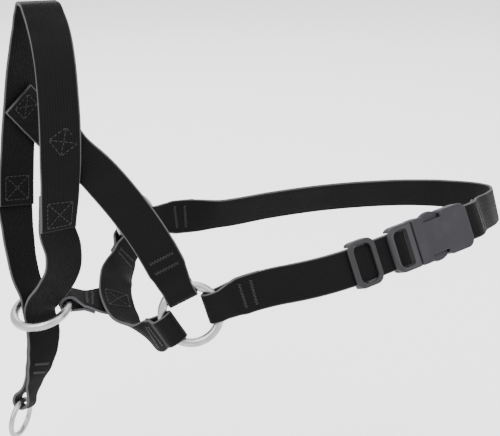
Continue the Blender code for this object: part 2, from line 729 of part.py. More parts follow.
def build():
    """Builds every piece of the halter."""
    for item in list(bpy.data.objects):
        bpy.data.objects.remove(item, do_unlink=True)

    nose = nose_band()
    add_strap("nose_band", nose)
    slip, slip_middle, slip_side = slip_strap(nose)
    add_strap("slip_strap", slip)
    add_stitching("left_nose_seam", nose, 2.0, 15.0, 5, side_to(nose[0], -Y))
    slip_length = slip[-1].distance
    add_stitching("right_nose_seam", slip, slip_length - 15.0, slip_length - 2.0, 5,
                  side_to(slip[-1], Y))

    left_cheek, left_cheek_main = left_cheek_strap(nose)
    add_strap("left_cheek_strap", left_cheek)
    add_stitching("left_cheek_nose_seam", left_cheek, 2.0, 11.0, 4, side_to(left_cheek[2], Y))
    add_fold_tack("left_cheek_ring_seam", left_cheek_main, False, -Y)

    right_cheek, right_cheek_main = right_cheek_strap(nose)
    add_strap("right_cheek_strap", right_cheek)
    add_stitching("right_cheek_nose_seam", right_cheek, 2.0, 11.0, 4, side_to(right_cheek[2], -Y))
    add_fold_tack("right_cheek_ring_seam", right_cheek_main, False, Y)

    throat, throat_main = throat_strap()
    add_strap("throat_strap", throat)
    add_fold_tack("left_throat_ring_seam", throat_main, False, LEFT_RING.normal, 1.0, 5.0)
    add_fold_tack("right_throat_ring_seam", throat_main, True, RIGHT_RING.normal, 1.0, 6.0)

    (link, link_main), link_seat = chin_link_strap(throat_main)
    add_strap("chin_link_strap", link)
    add_fold_tack("chin_link_ring_seam", link_main, True, Z, 0.5, 5.0)
    add_stitching("chin_link_throat_seam", throat_main, link_seat.distance - 5.5,
                  link_seat.distance + 5.5, 4, side_to(link_seat, Z))

    left_neck, left_neck_main, glide_place = left_neck_strap()
    add_strap("left_neck_strap", left_neck)
    add_fold_tack("left_neck_ring_seam", left_neck_main, True, -Y)

    right_neck, right_neck_main = right_neck_strap()
    add_strap("right_neck_strap", right_neck)
    add_fold_tack("right_neck_ring_seam", right_neck_main, True, -Y)
    add_stitching("socket_seam", right_neck_main, right_neck_main[-1].distance - 17.0,
                  right_neck_main[-1].distance - 9.0, 3, side_to(right_neck_main[-1], -Y))

    middle_end = slip_middle[-1].distance
    add_stitching("leash_fold_seam", slip_middle, middle_end - 12.5, middle_end - 5.5, 3,
                  slip_side * (1 + LAYER / 2 / (WEB_THICK / 2 + FIT + THREAD_HIGH / 2)))

    for ring in (CHIN_RING, LEFT_RING, RIGHT_RING):
        ring.build()
    leash_ring().build(32, 10)

    tri_glide(glide_place)
    buckle_insert()
    buckle_socket()
    release_arm("buckle_arm_upper", 1)
    release_arm("buckle_arm_lower", -1)


def side_to(section, direction):
    """The face of a strap that points in a direction, as +1 or -1."""
    return 1.0 if section.normal.dot(direction) > 0 else -1.0


def add_fold_tack(name, main, at_start, outward, start=4.0, length=8.0):
    """The stitching that closes a fold round a ring, on the strap's outer face."""
    total = main[-1].distance
    near, far = start, start + length
    if not at_start:
        near, far = total - far, total - near
    at = section_at(main, (near + far) / 2)
    return add_stitching(name, main, near, far, 3, side_to(at, Vector(outward)))


build()
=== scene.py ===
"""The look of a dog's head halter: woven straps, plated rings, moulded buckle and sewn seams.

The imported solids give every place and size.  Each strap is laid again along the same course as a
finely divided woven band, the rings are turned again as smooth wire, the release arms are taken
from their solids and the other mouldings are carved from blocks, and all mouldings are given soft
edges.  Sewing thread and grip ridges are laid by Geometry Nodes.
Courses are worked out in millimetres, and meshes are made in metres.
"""

import logging
import math
from copy import copy
from dataclasses import dataclass, field
from enum import Enum
from typing import Iterable, Optional, Sequence

import bmesh
import bpy
from mathutils import Matrix, Vector


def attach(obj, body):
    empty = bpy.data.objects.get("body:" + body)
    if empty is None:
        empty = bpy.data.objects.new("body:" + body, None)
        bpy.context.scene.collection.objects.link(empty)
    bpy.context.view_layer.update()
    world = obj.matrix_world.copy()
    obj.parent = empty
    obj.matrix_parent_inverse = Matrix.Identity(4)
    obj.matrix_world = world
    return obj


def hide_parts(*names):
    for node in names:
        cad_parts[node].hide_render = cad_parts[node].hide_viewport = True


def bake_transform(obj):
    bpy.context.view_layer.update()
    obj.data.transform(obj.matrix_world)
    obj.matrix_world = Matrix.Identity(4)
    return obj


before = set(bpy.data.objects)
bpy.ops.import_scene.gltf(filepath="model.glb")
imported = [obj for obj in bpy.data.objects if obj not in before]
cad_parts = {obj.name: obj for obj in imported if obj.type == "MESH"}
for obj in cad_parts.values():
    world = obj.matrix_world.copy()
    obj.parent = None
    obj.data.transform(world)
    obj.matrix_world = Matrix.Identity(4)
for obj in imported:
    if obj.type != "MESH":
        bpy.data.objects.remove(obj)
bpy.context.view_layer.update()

LOG = logging.getLogger("head_halter")

MM = 0.001
X, Y, Z = Vector((1, 0, 0)), Vector((0, 1, 0)), Vector((0, 0, 1))


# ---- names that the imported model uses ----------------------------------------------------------
class Body(str, Enum):
    """The bodies that pieces ride on."""

    STRAPS = "straps"
    BUCKLE_HALF = "buckle_half"
    UPPER_ARM = "upper_arm"
    LOWER_ARM = "lower_arm"
    ADJUSTER = "adjuster"
    LEFT_RING = "left_ring"
    RIGHT_RING = "right_ring"
    CHIN = "chin"
    SLIP = "slip"
    LEASH = "leash"


class Slot(str, Enum):
    """The names of the material slots."""

    WEBBING = "webbing"
    THREAD = "thread"
    RING_STEEL = "ring_steel"
    MOULDING = "moulding"


class SewnPattern(Enum):
    """How a seam is sewn."""

    BOX_CROSS = "box with a cross in it"
    BAR_TACK = "two dense bars across the webbing"


# ---- sizes shared by every strap (mm) ----------------------------------------------------------
WEB_WIDTH = 20.0
WEB_THICK = 1.5
WOVEN_THICK = 1.72        # the woven band nearly closes the air between two sewn layers
LAYER = WEB_THICK + 0.4
FOLD_FIT = 0.5
FINE_STEP = 1.2           # spacing of the cross-sections along a strap
TINY = 1e-6               # keeps a length of nothing from being divided by

RING_BORE = 25.0
RING_WIRE = 4.6
FOLD_WIDTH = 16.0
LINK_FOLD_WIDTH = 12.0
BUNCHED_TO = 4.0          # how far from a ring the webbing stays bunched
OPENING_RUN = 10.0        # over what length it then opens to its full width
SHORT_LAP_END = 16.5
LINK_LAP_END = 16.0
LEASH_BORE = 17.0
LEASH_WIRE = 2.8
LEASH_FOLD_WIDTH = 10.0
SLIP_WIDTH = 17.0

FLARE = 9.5
PAST_FLARE = 5.0          # the straight stretch of a main layer beyond its flare
LAP_END = 27.0
NOSE_TUCK = 18.0
CROWN_STEP = 2.9

GLIDE_FROM_BUCKLE = 20.5
GLIDE_ARC_RADIUS = 85.0
GLIDE_ARC_LENGTH = 46.0
GLIDE_ARC_TILT = 15.0
GLIDE_ARC_STEPS = 10
TAIL_BEYOND_GLIDE = 43.0

LINK_LIFT = 0.5           # how far the chin link lies off the throat strap, past one layer
CHEEK_LIFT = 0.5          # how far a cheek strap lies off the nose band, past one layer

ENTRY_X = 3.0
GLIDE_X = ENTRY_X - GLIDE_FROM_BUCKLE
INSERT_BAR_X = 9.0
BAR_TURN = 2.55
SOCKET_BAR_X = 50.2
BAR_REACH = 1.2           # half of a buckle bar, along the strap
BAR_HALF_HIGH = 0.9
BAR_WELD = 0.8            # how far a bar reaches into the walls beside it
CUT_PAST = 2.0            # how far a cutting block reaches past what it cuts
CUT_APART = 0.1           # cuts keep this far apart, because pieces with shared cut faces get lost
ENTRY_RISE = 0.15         # how much higher a webbing entry is cut than its channel


# ---- node trees --------------------------------------------------------------------------------
@dataclass
class NodeBoard:
    """A node tree with short ways to add and join nodes."""

    tree: bpy.types.NodeTree

    def add(self, kind: str, **settings: object) -> bpy.types.Node:
        """Adds a node.

        Args:
            kind: the node's type name.
            settings: properties of the node to set.

        Returns:
            The new node.
        """
        node = self.tree.nodes.new(kind)
        for name, value in settings.items():
            setattr(node, name, value)
        return node

    def put(self, socket: bpy.types.NodeSocket, value: object) -> None:
        """Links a socket to another, or sets its value.

        Args:
            socket: the input to fill.
            value: the socket to link from, or the value to set.
        """
        if isinstance(value, bpy.types.NodeSocket):
            self.tree.links.new(value, socket)
        else:
            socket.default_value = value

    def sum(self, operation: str, first: object, second: object = 0.0) -> bpy.types.NodeSocket:
        """A Math node's result.

        Args:
            operation: the Math node's operation.
            first: the first value or socket.
            second: the second value or socket.

        Returns:
            The result's socket.
        """
        node = self.add("ShaderNodeMath", operation=operation)
        self.put(node.inputs[0], first)
        self.put(node.inputs[1], second)
        return node.outputs[0]

    def ramp(self, value: object, low: float, high: float, to_low: float, to_high: float,
             smooth: bool = False) -> bpy.types.NodeSocket:
        """A Map Range node's result, held inside its limits.

        Args:
            value: the value or socket to map.
            low: the input that gives to_low.
            high: the input that gives to_high.
            to_low: the result at low.
            to_high: the result at high.
            smooth: eases in and out when True.

        Returns:
            The result's socket.
        """
        kind = "SMOOTHSTEP" if smooth else "LINEAR"
        node = self.add("ShaderNodeMapRange", interpolation_type=kind)
        for name, item in zip(("Value", "From Min", "From Max", "To Min", "To Max"),
                              (value, low, high, to_low, to_high)):
            self.put(node.inputs[name], item)
        return node.outputs[0]

    def blend(self, share: object, first: object, second: object) -> bpy.types.NodeSocket:
        """A colour between two colours.

        Args:
            share: 0 for the first colour and 1 for the second.
            first: the first colour or socket.
            second: the second colour or socket.

        Returns:
            The mixed colour's socket.
        """
        node = self.add("ShaderNodeMix", data_type="RGBA")
        self.put(node.inputs[0], share)
        self.put(node.inputs[6], first)
        self.put(node.inputs[7], second)
        return node.outputs[2]

    def noise(self, where: bpy.types.NodeSocket, scale: float, detail: float = 3.0,
              stretch: tuple[float, float, float] = (1.0, 1.0, 1.0)) -> bpy.types.NodeSocket:
        """A noise value over the surface.

        Args:
            where: the coordinates it reads.
            scale: how fine it is, in waves to the metre.
            detail: how many finer layers it has.
            stretch: how much finer it is along each axis.

        Returns:
            The noise value's socket.
        """
        mapping = self.add("ShaderNodeMapping")
        mapping.inputs["Scale"].default_value = stretch
        self.put(mapping.inputs["Vector"], where)
        node = self.add("ShaderNodeTexNoise")
        self.put(node.inputs["Vector"], mapping.outputs[0])
        node.inputs["Scale"].default_value = scale
        node.inputs["Detail"].default_value = detail
        return node.outputs[0]

    def bump(self, height: object, depth: float, strength: float = 1.0,
             over: Optional[bpy.types.NodeSocket] = None) -> bpy.types.NodeSocket:
        """A surface normal raised by a height.

        Args:
            height: the height, from 0 to 1.
            depth: how far 1 stands out, in metres.
            strength: how much of it shows.
            over: a normal already raised, to add to.

        Returns:
            The normal's socket.
        """
        node = self.add("ShaderNodeBump")
        node.inputs["Distance"].default_value = depth
        node.inputs["Strength"].default_value = strength
        self.put(node.inputs["Height"], height)
        if over is not None:
            self.put(node.inputs["Normal"], over)
        return node.outputs[0]


def new_material(name: str) -> tuple[bpy.types.Material, NodeBoard, bpy.types.Node]:
    """An empty Principled material.

    Args:
        name: the material's name.

    Returns:
        The material, its board and its shader node.
    """
    material = bpy.data.materials.new(name)
    material.use_nodes = True
    board = NodeBoard(material.node_tree)
    return material, board, material.node_tree.nodes["Principled BSDF"]


# ---- finishes ----------------------------------------------------------------------------------
@dataclass(frozen=True)
class WovenNylon:
    """Black webbing: columns of warp yarn, slanting one way and the other, with painted shade in the
    weave's hollows and a painted highlight on the rounded edges.
    """

    column_pitch: float = 1.35
    pick_pitch: float = 1.15
    yarn: tuple[float, float, float, float] = (0.0009, 0.0009, 0.0010, 1.0)
    # painted light on the weave's crests, and also the tone that the dusty patches fade to
    lit_crest_and_dust: tuple[float, float, float, float] = (0.0030, 0.0030, 0.0034, 1.0)
    # painted highlight: the paler colour of the rounded edges and, in part, of the cut ends
    edge_highlight: tuple[float, float, float, float] = (0.050, 0.050, 0.053, 1.0)

    def material(self) -> bpy.types.Material:
        """The webbing's material, which follows the strap's own UV map.

        Returns:
            The material.
        """
        material, board, shader = new_material("black_nylon_webbing")
        split = board.add("ShaderNodeSeparateXYZ")
        uv = board.add("ShaderNodeUVMap", uv_map="strap")
        board.put(split.inputs[0], uv.outputs[0])
        run = board.sum("MULTIPLY", split.outputs[0], 1.0 / (self.pick_pitch * MM))
        over = board.sum("MULTIPLY", split.outputs[1], 1.0 / (self.column_pitch * MM))
        column = board.sum("FLOOR", over)
        within = board.sum("SUBTRACT", board.sum("FRACT", over), 0.5)
        bulge = board.sum("COSINE", board.sum("MULTIPLY", within, math.pi))
        odd = board.sum("ABSOLUTE", board.sum("MODULO", column, 2.0))
        slant = board.sum("SUBTRACT", board.sum("MULTIPLY", odd, 2.0), 1.0)
        leaned = board.sum("ADD", run, board.sum("MULTIPLY", board.sum("MULTIPLY", within, slant), 0.9))
        shifted = board.sum("ADD", leaned, board.sum("MULTIPLY", odd, 0.5))
        pick = board.sum("SINE", board.sum("MULTIPLY", shifted, 2 * math.pi))
        lifted = board.sum("ADD", board.sum("MULTIPLY", pick, 0.5), 0.5)
        height = board.sum("MULTIPLY", bulge, board.sum("ADD", board.sum("MULTIPLY", lifted, 0.55), 0.45))
        where = board.add("ShaderNodeTexCoord").outputs["Object"]
        fuzz = board.noise(where, 2600.0, 2.0)
        worn = board.noise(where, 45.0, 3.0)
        # Painted shade: the weave is darker in its hollows and lighter on its crests, following the
        # bump's height.
        shaded_weave = board.blend(board.ramp(height, 0.35, 1.0, 0.0, 1.0), self.yarn, self.lit_crest_and_dust)
        # Dusty patches at random, towards the same paler tone.
        dusty = board.blend(board.ramp(worn, 0.45, 0.75, 0.0, 0.35), shaded_weave, self.lit_crest_and_dust)
        # Painted highlight: the rounded edges, and the cut ends in part, are painted paler, as if light
        # caught them.
        edge = board.add("ShaderNodeAttribute", attribute_name="edge_highlight").outputs["Fac"]
        tone = board.blend(board.ramp(edge, 0.25, 0.95, 0.0, 1.0, True), dusty, self.edge_highlight)
        board.put(shader.inputs["Base Color"], tone)
        board.put(shader.inputs["Roughness"], board.ramp(worn, 0.3, 0.7, 0.60, 0.74))
        shader.inputs["Sheen Weight"].default_value = 0.012
        shader.inputs["Sheen Roughness"].default_value = 0.45
        shader.inputs["Specular IOR Level"].default_value = 0.07
        yarns = board.bump(height, 0.22 * MM, 0.85)
        board.put(shader.inputs["Normal"], board.bump(fuzz, 0.05 * MM, 0.35, yarns))
        return material


@dataclass(frozen=True)
class BondedThread:
    """Black sewing thread with the shine of bonded nylon."""

    colour: tuple[float, float, float, float] = (0.0022, 0.0022, 0.0025, 1.0)
    bright: tuple[float, float, float, float] = (0.0075, 0.0075, 0.0080, 1.0)

    def material(self) -> bpy.types.Material:
        """Makes the thread's material.

        Returns:
            The material.
        """
        material, board, shader = new_material("black_bonded_thread")
        where = board.add("ShaderNodeTexCoord").outputs["Object"]
        plies = board.noise(where, 1500.0, 2.0)
        board.put(shader.inputs["Base Color"],
                  board.blend(board.ramp(plies, 0.35, 0.7, 0.0, 1.0), self.colour, self.bright))
        board.put(shader.inputs["Roughness"], board.ramp(plies, 0.3, 0.7, 0.38, 0.52))
        shader.inputs["Sheen Weight"].default_value = 0.03
        shader.inputs["Specular IOR Level"].default_value = 0.22
        board.put(shader.inputs["Normal"], board.bump(plies, 0.08 * MM, 0.6))
        return material


@dataclass(frozen=True)
class PlatedSteel:
    """Nickel plate on wire: satin, with fine handling marks."""

    colour: tuple[float, float, float, float] = (0.32, 0.32, 0.323, 1.0)
    dull: tuple[float, float, float, float] = (0.25, 0.25, 0.253, 1.0)

    def material(self) -> bpy.types.Material:
        """Makes the rings' material.

        Returns:
            The material.
        """
        material, board, shader = new_material("satin_nickel_plate")
        where = board.add("ShaderNodeTexCoord").outputs["Object"]
        cloud = board.noise(where, 120.0, 3.0)
        marks = board.noise(where, 900.0, 4.0, (1.0, 1.0, 5.0))
        board.put(shader.inputs["Base Color"],
                  board.blend(board.ramp(cloud, 0.4, 0.7, 0.0, 1.0), self.colour, self.dull))
        board.put(shader.inputs["Roughness"], board.ramp(marks, 0.3, 0.75, 0.24, 0.40))
        shader.inputs["Metallic"].default_value = 1.0
        board.put(shader.inputs["Normal"], board.bump(marks, 0.03 * MM, 0.35))
        return material


@dataclass(frozen=True)
class MouldedAcetal:
    """Dark grey moulded plastic with a fine spark-eroded skin, a little polished by handling."""

    name: str
    colour: tuple[float, float, float, float] = (0.0125, 0.0124, 0.0138, 1.0)
    rubbed: tuple[float, float, float, float] = (0.024, 0.0236, 0.0265, 1.0)

    def material(self) -> bpy.types.Material:
        """Makes the mouldings' material.

        Returns:
            The material.
        """
        material, board, shader = new_material(self.name)
        where = board.add("ShaderNodeTexCoord").outputs["Object"]
        grain = board.noise(where, 2400.0, 3.0)
        handled = board.noise(where, 70.0, 3.0)
        flow = board.noise(where, 240.0, 2.0, (1.0, 1.0, 0.25))
        edges = board.add("ShaderNodeNewGeometry").outputs["Pointiness"]
        worn = board.ramp(edges, 0.505, 0.56, 0.0, 0.8)
        rubbed = board.sum("MAXIMUM", board.ramp(handled, 0.45, 0.80, 0.0, 0.6), worn)
        board.put(shader.inputs["Base Color"], board.blend(rubbed, self.colour, self.rubbed))
        board.put(shader.inputs["Roughness"], board.ramp(handled, 0.35, 0.75, 0.55, 0.42))
        shader.inputs["Specular IOR Level"].default_value = 0.15
        skin = board.bump(grain, 0.045 * MM, 0.55)
        board.put(shader.inputs["Normal"], board.bump(flow, 0.05 * MM, 0.15, skin))
        return material


@dataclass(frozen=True)
class StudioPaper:
    """The plain pale floor."""

    colour: tuple[float, float, float, float] = (0.93, 0.93, 0.93, 1.0)

    def material(self) -> bpy.types.Material:
        """Makes the floor's material.

        Returns:
            The material.
        """
        material, _, shader = new_material("pale_paper")
        shader.inputs["Base Color"].default_value = self.colour
        shader.inputs["Roughness"].default_value = 0.9
        shader.inputs["Specular IOR Level"].default_value = 0.1
        return material


# ---- the course of a strap ---------------------------------------------------------------------
@dataclass
class Section:
    """One place along a strap.

    Attributes:
        point: the middle of the webbing.
        across: the direction of its width.
        width: its width.
        along: the direction it runs in.
        normal: the direction its face points in.
        distance: how far along the strap it lies.
        framed: whether along and normal have been worked out.
    """

    point: Vector
    across: Vector
    width: float = WEB_WIDTH
    along: Vector = field(default_factory=X.copy)
    normal: Vector = field(default_factory=Z.copy)
    distance: float = 0.0
    framed: bool = False

    def __post_init__(self) -> None:
        """Turns plain tuples into vectors, and the width direction into a unit one."""
        self.point = Vector(self.point)
        self.across = Vector(self.across).normalized()

    def shifted(self, off: float) -> "Section":
        """The same place moved off along the strap's normal."""
        return Section(self.point + self.normal * off, self.across, self.width)

    def folded_back(self, off: float) -> "Section":
        """The layer that lies off along the normal and runs the other way, its frame kept.

        Args:
            off: how far the layer lies from this one.

        Returns:
            The folded layer's section.
        """
        back = self.shifted(off)
        back.along, back.normal, back.framed = -self.along, -self.normal, True
        return back

    def side_to(self, direction: Vector) -> float:
        """The face that points in a direction, as 1 or -1."""
        return 1.0 if self.normal.dot(direction) > 0 else -1.0


Course = list[Section]


def untwisted(sections: Course) -> Course:
    """Turns each width direction to agree with the one before it.

    Args:
        sections: the sections in order along the strap.

    Returns:
        The same list.
    """
    for before, after in zip(sections, sections[1:]):
        if after.across.dot(before.across) < 0:
            after.across = -after.across
            after.normal = -after.normal
    return sections


def with_frames(sections: Course) -> Course:
    """Works out each section's distance, and the frame of those that have none.

    Args:
        sections: the sections in order along the strap.

    Returns:
        The same list.
    """
    untwisted(sections)
    last = len(sections) - 1
    travelled = 0.0
    for i, section in enumerate(sections):
        before, after = sections[max(i - 1, 0)].point, sections[min(i + 1, last)].point
        if not section.framed:
            section.along = (after - before).normalized()
            side = section.across - section.along * section.across.dot(section.along)
            section.across = side.normalized()
            section.normal = section.along.cross(section.across)
            section.framed = True
        if i > 0:
            travelled += (section.point - before).length
        section.distance = travelled
    return sections


def smooth_course(stations: Iterable[Section], step: float = FINE_STEP) -> Course:
    """Sections at an even step along a smooth curve through stations.

    Args:
        stations: the places that the strap passes through.
        step: the most that two sections may lie apart.

    Returns:
        The framed sections.
    """
    stops = untwisted([Section(s.point, s.across, s.width) for s in stations])
    points = [s.point for s in stops]
    spans = [max((b - a).length, TINY) for a, b in zip(points, points[1:])]
    last = len(points) - 1
    slopes = [(points[1] - points[0]) / spans[0]]
    for i in range(1, last):
        left = (points[i] - points[i - 1]) / spans[i - 1]
        right = (points[i + 1] - points[i]) / spans[i]
        slopes.append(left.lerp(right, spans[i - 1] / (spans[i - 1] + spans[i])))
    slopes.append((points[-1] - points[-2]) / spans[-1])
    sections = []
    for i, span in enumerate(spans):
        count = max(1, math.ceil(span / step))
        for k in range(count + (1 if i == last - 1 else 0)):
            t = k / count
            point = (points[i] * (2 * t ** 3 - 3 * t ** 2 + 1)
                     + slopes[i] * span * (t ** 3 - 2 * t ** 2 + t)
                     + points[i + 1] * (3 * t ** 2 - 2 * t ** 3)
                     + slopes[i + 1] * span * (t ** 3 - t ** 2))
            ease = t * t * (3 - 2 * t)
            across = stops[i].across.lerp(stops[i + 1].across, ease)
            width = stops[i].width + (stops[i + 1].width - stops[i].width) * ease
            sections.append(Section(point, across, width))
    return with_frames(sections)


def section_at(sections: Course, distance: float) -> Section:
    """The section at a distance along a framed course, between its neighbours.

    Args:
        sections: the framed course.
        distance: how far along it.

    Returns:
        A new section with its frame.
    """
    distance = min(max(distance, 0.0), sections[-1].distance)
    for a, b in zip(sections, sections[1:]):
        if b.distance >= distance:
            t = (distance - a.distance) / max(b.distance - a.distance, TINY)
            place = Section(a.point.lerp(b.point, t), a.across.lerp(b.across, t),
                            a.width + (b.width - a.width) * t)
            place.along = a.along.lerp(b.along, t).normalized()
            place.normal = a.normal.lerp(b.normal, t).normalized()
            place.distance = distance
            return place
    return sections[-1]


def opened_out(distance: float, narrow: float) -> float:
    """The width of webbing at a distance from the ring it is bunched on."""
    t = min(max((distance - BUNCHED_TO) / OPENING_RUN, 0.0), 1.0)
    return narrow + (WEB_WIDTH - narrow) * t * t * (3 - 2 * t)


@dataclass
class Fold:
    """The end of a strap that turns round a ring.

    Attributes:
        main: the main layer's first stations, nearest the ring first.
        arc: the sections round the wire, from the main layer to the folded one.
        outward: the direction of the main layer's face.
    """

    main: Course
    arc: Course
    outward: Vector


def lap_of(main: Course, fold: Fold, length: float = LAP_END, at_start: bool = True) -> Course:
    """The folded layer, which follows the main one out to the cut end.

    Args:
        main: the framed main layer.
        fold: the fold it belongs to.
        length: the distance from the ring's wire to the cut end.
        at_start: whether the fold is at the main layer's start.

    Returns:
        The layer's sections, nearest the ring first.
    """
    run = main if at_start else list(reversed(main))
    side = -LAYER if run[0].normal.dot(fold.outward) > 0 else LAYER
    reach = length - FLARE
    return [s.folded_back(side) for s in run if abs(s.distance - run[0].distance) <= reach]


def folded_strap(free: Course, start: Optional[Fold] = None, end: Optional[Fold] = None,
                 lap: float = LAP_END) -> tuple[Course, Course]:
    """A strap through free stations whose ends fold round rings.

    Args:
        free: the stations between the folds.
        start: the fold at its start.
        end: the fold at its end.
        lap: the distance from a ring's wire to the cut end.

    Returns:
        The whole course, and its main layer alone.
    """
    stations = (start.main if start else []) + list(free)
    stations += list(reversed(end.main)) if end else []
    main = smooth_course(stations)
    full = list(main)
    if start:
        full = list(reversed(lap_of(main, start, lap))) + list(reversed(start.arc)) + full
    if end:
        full = full + end.arc + lap_of(main, end, lap, at_start=False)
    return with_frames([copy(s) for s in full]), main


# ---- rings -------------------------------------------------------------------------------------
@dataclass
class WireRing:
    """A welded round ring of wire.

    Attributes:
        node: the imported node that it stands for.
        body: the body that it rides on.
        centre: its middle.
        normal: its axis.
        bore: its inside diameter.
        wire: its wire's diameter.
        weld_angle: where its weld lies, in degrees.
        weld_height: how far the weld swells.
        weld_spread: the weld's half width, in degrees.
        groove_depth: the depth of the groove along the weld's middle.
        groove_spread: the groove's half width, in degrees.
    """

    node: str
    body: Body
    centre: Vector
    normal: Vector
    bore: float = RING_BORE
    wire: float = RING_WIRE
    weld_angle: float = 205.0
    weld_height: float = 0.10
    weld_spread: float = 2.4
    groove_depth: float = 0.06
    groove_spread: float = 0.7

    def __post_init__(self) -> None:
        """Works out the ring's own directions."""
        self.centre = Vector(self.centre)
        self.normal = Vector(self.normal).normalized()
        self.radius = (self.bore + self.wire) / 2
        self.east = (X - self.normal * X.dot(self.normal)).normalized()
        north = self.normal.cross(self.east)
        self.north = -north if north.z < 0 else north

    def radial(self, angle: float) -> Vector:
        """The outward direction at an angle in the ring's plane."""
        turn = math.radians(angle)
        return self.east * math.cos(turn) + self.north * math.sin(turn)

    def fold(self, angle: float, run: Sequence[float], outer: Vector,
             fold_width: float = FOLD_WIDTH) -> Fold:
        """A fold round the wire.

        Args:
            angle: where on the ring it sits.
            run: the direction in which the strap leaves.
            outer: the side that the main layer is on.
            fold_width: the width of the bunched webbing.

        Returns:
            The fold.
        """
        radial = self.radial(angle)
        tangent = self.normal.cross(radial).normalized()
        course = Vector(run)
        away = (course - tangent * course.dot(tangent)).normalized()
        outward = tangent.cross(away)
        if outward.dot(outer) < 0:
            outward = -outward
        outermost = self.bore / 2 + self.wire
        innermost = math.sqrt((self.bore / 2) ** 2 - (fold_width / 2) ** 2)
        middle = self.centre + radial * (outermost + innermost) / 2
        turn_radius = (outermost - innermost) / 2 + FOLD_FIT + WEB_THICK / 2
        arc = round_bar(middle, away, outward, turn_radius, tangent, fold_width)
        main = [Section(middle + away * reach + outward * LAYER / 2, tangent,
                        opened_out(reach, fold_width)) for reach in (FLARE, FLARE + PAST_FLARE)]
        return Fold(main, arc, outward)

    def build(self, finish: bpy.types.Material) -> bpy.types.Object:
        """The ring's wire, with a low swelling where it is welded.

        Args:
            finish: its material.

        Returns:
            The ring's object.
        """
        around_count, sides = 160, 28
        other = self.normal.cross(self.east)
        vertices: list[Vector] = []
        faces: list[tuple[int, ...]] = []
        for i in range(around_count):
            angle = 360.0 * i / around_count
            turn = math.radians(angle)
            outward = self.east * math.cos(turn) + other * math.sin(turn)
            from_weld = abs((angle - self.weld_angle + 180) % 360 - 180)
            swell = (self.weld_height * math.exp(-(from_weld / self.weld_spread) ** 2)
                     - self.groove_depth * math.exp(-(from_weld / self.groove_spread) ** 2))
            for k in range(sides):
                phi = 2 * math.pi * k / sides
                reach = self.wire / 2 + swell
                vertices.append(self.centre + outward * (self.radius + reach * math.cos(phi))
                                + self.normal * reach * math.sin(phi))
                here, over = i * sides, (i + 1) % around_count * sides
                up = (k + 1) % sides
                faces.append((here + k, over + k, over + up, here + up))
        item = object_from(f"{self.node}_wire", vertices, faces, finish)
        return settle(item, self.body, Slot.RING_STEEL, self.node)


def round_bar(middle: Vector, away: Vector, outward: Vector, radius: float, across: Vector,
              width: float, first: float = 55.0, sweep: float = 250.0) -> Course:
    """Sections that turn round a bar or a wire.

    Args:
        middle: the middle of the bar.
        away: the direction in which both layers leave.
        outward: the side of the first layer.
        radius: the radius of the webbing's middle.
        across: the direction of its width.
        width: its width.
        first: the angle of the first section, in degrees from away towards outward.
        sweep: how far it turns.

    Returns:
        The sections.
    """
    count = 24
    arc = []
    for step in range(count + 1):
        phi = math.radians(first + sweep * step / count)
        arc.append(Section(middle + away * radius * math.cos(phi) + outward * radius * math.sin(phi),
                           across, width))
    return arc


# ---- making and settling objects ---------------------------------------------------------------
def object_from(name: str, vertices: Iterable[Vector], faces: Iterable[Sequence[int]],
                finish: bpy.types.Material) -> bpy.types.Object:
    """An object at the origin from millimetre vertices.

    Args:
        name: its name.
        vertices: its corners, in millimetres.
        faces: its faces, facing out.
        finish: its material.

    Returns:
        The new object, smooth shaded.
    """
    mesh = bpy.data.meshes.new(name)
    mesh.from_pydata([tuple(v * MM) for v in vertices], [], [tuple(f) for f in faces])
    mesh.update()
    mesh.shade_smooth()
    mesh.materials.append(finish)
    item = bpy.data.objects.new(name, mesh)
    bpy.context.scene.collection.objects.link(item)
    return item


def settle(item: bpy.types.Object, body: Body, slot: Slot, *nodes: str) -> bpy.types.Object:
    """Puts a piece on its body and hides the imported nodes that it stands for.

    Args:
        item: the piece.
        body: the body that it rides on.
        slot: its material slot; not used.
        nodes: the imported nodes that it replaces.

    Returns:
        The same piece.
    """
    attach(item, body.value)
    if nodes:
        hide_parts(*nodes)
    LOG.info("%s rides on %s with %d faces", item.name, body.value, len(item.data.polygons))
    return item


def baked(item: bpy.types.Object) -> bpy.types.Object:
    """Turns an object's modifiers into plain mesh.

    Args:
        item: the object, whose modifiers are removed.

    Returns:
        The same object.
    """
    bpy.context.view_layer.update()
    graph = bpy.context.evaluated_depsgraph_get()
    mesh = bpy.data.meshes.new_from_object(item.evaluated_get(graph), depsgraph=graph)
    item.modifiers.clear()
    item.data = mesh
    return item


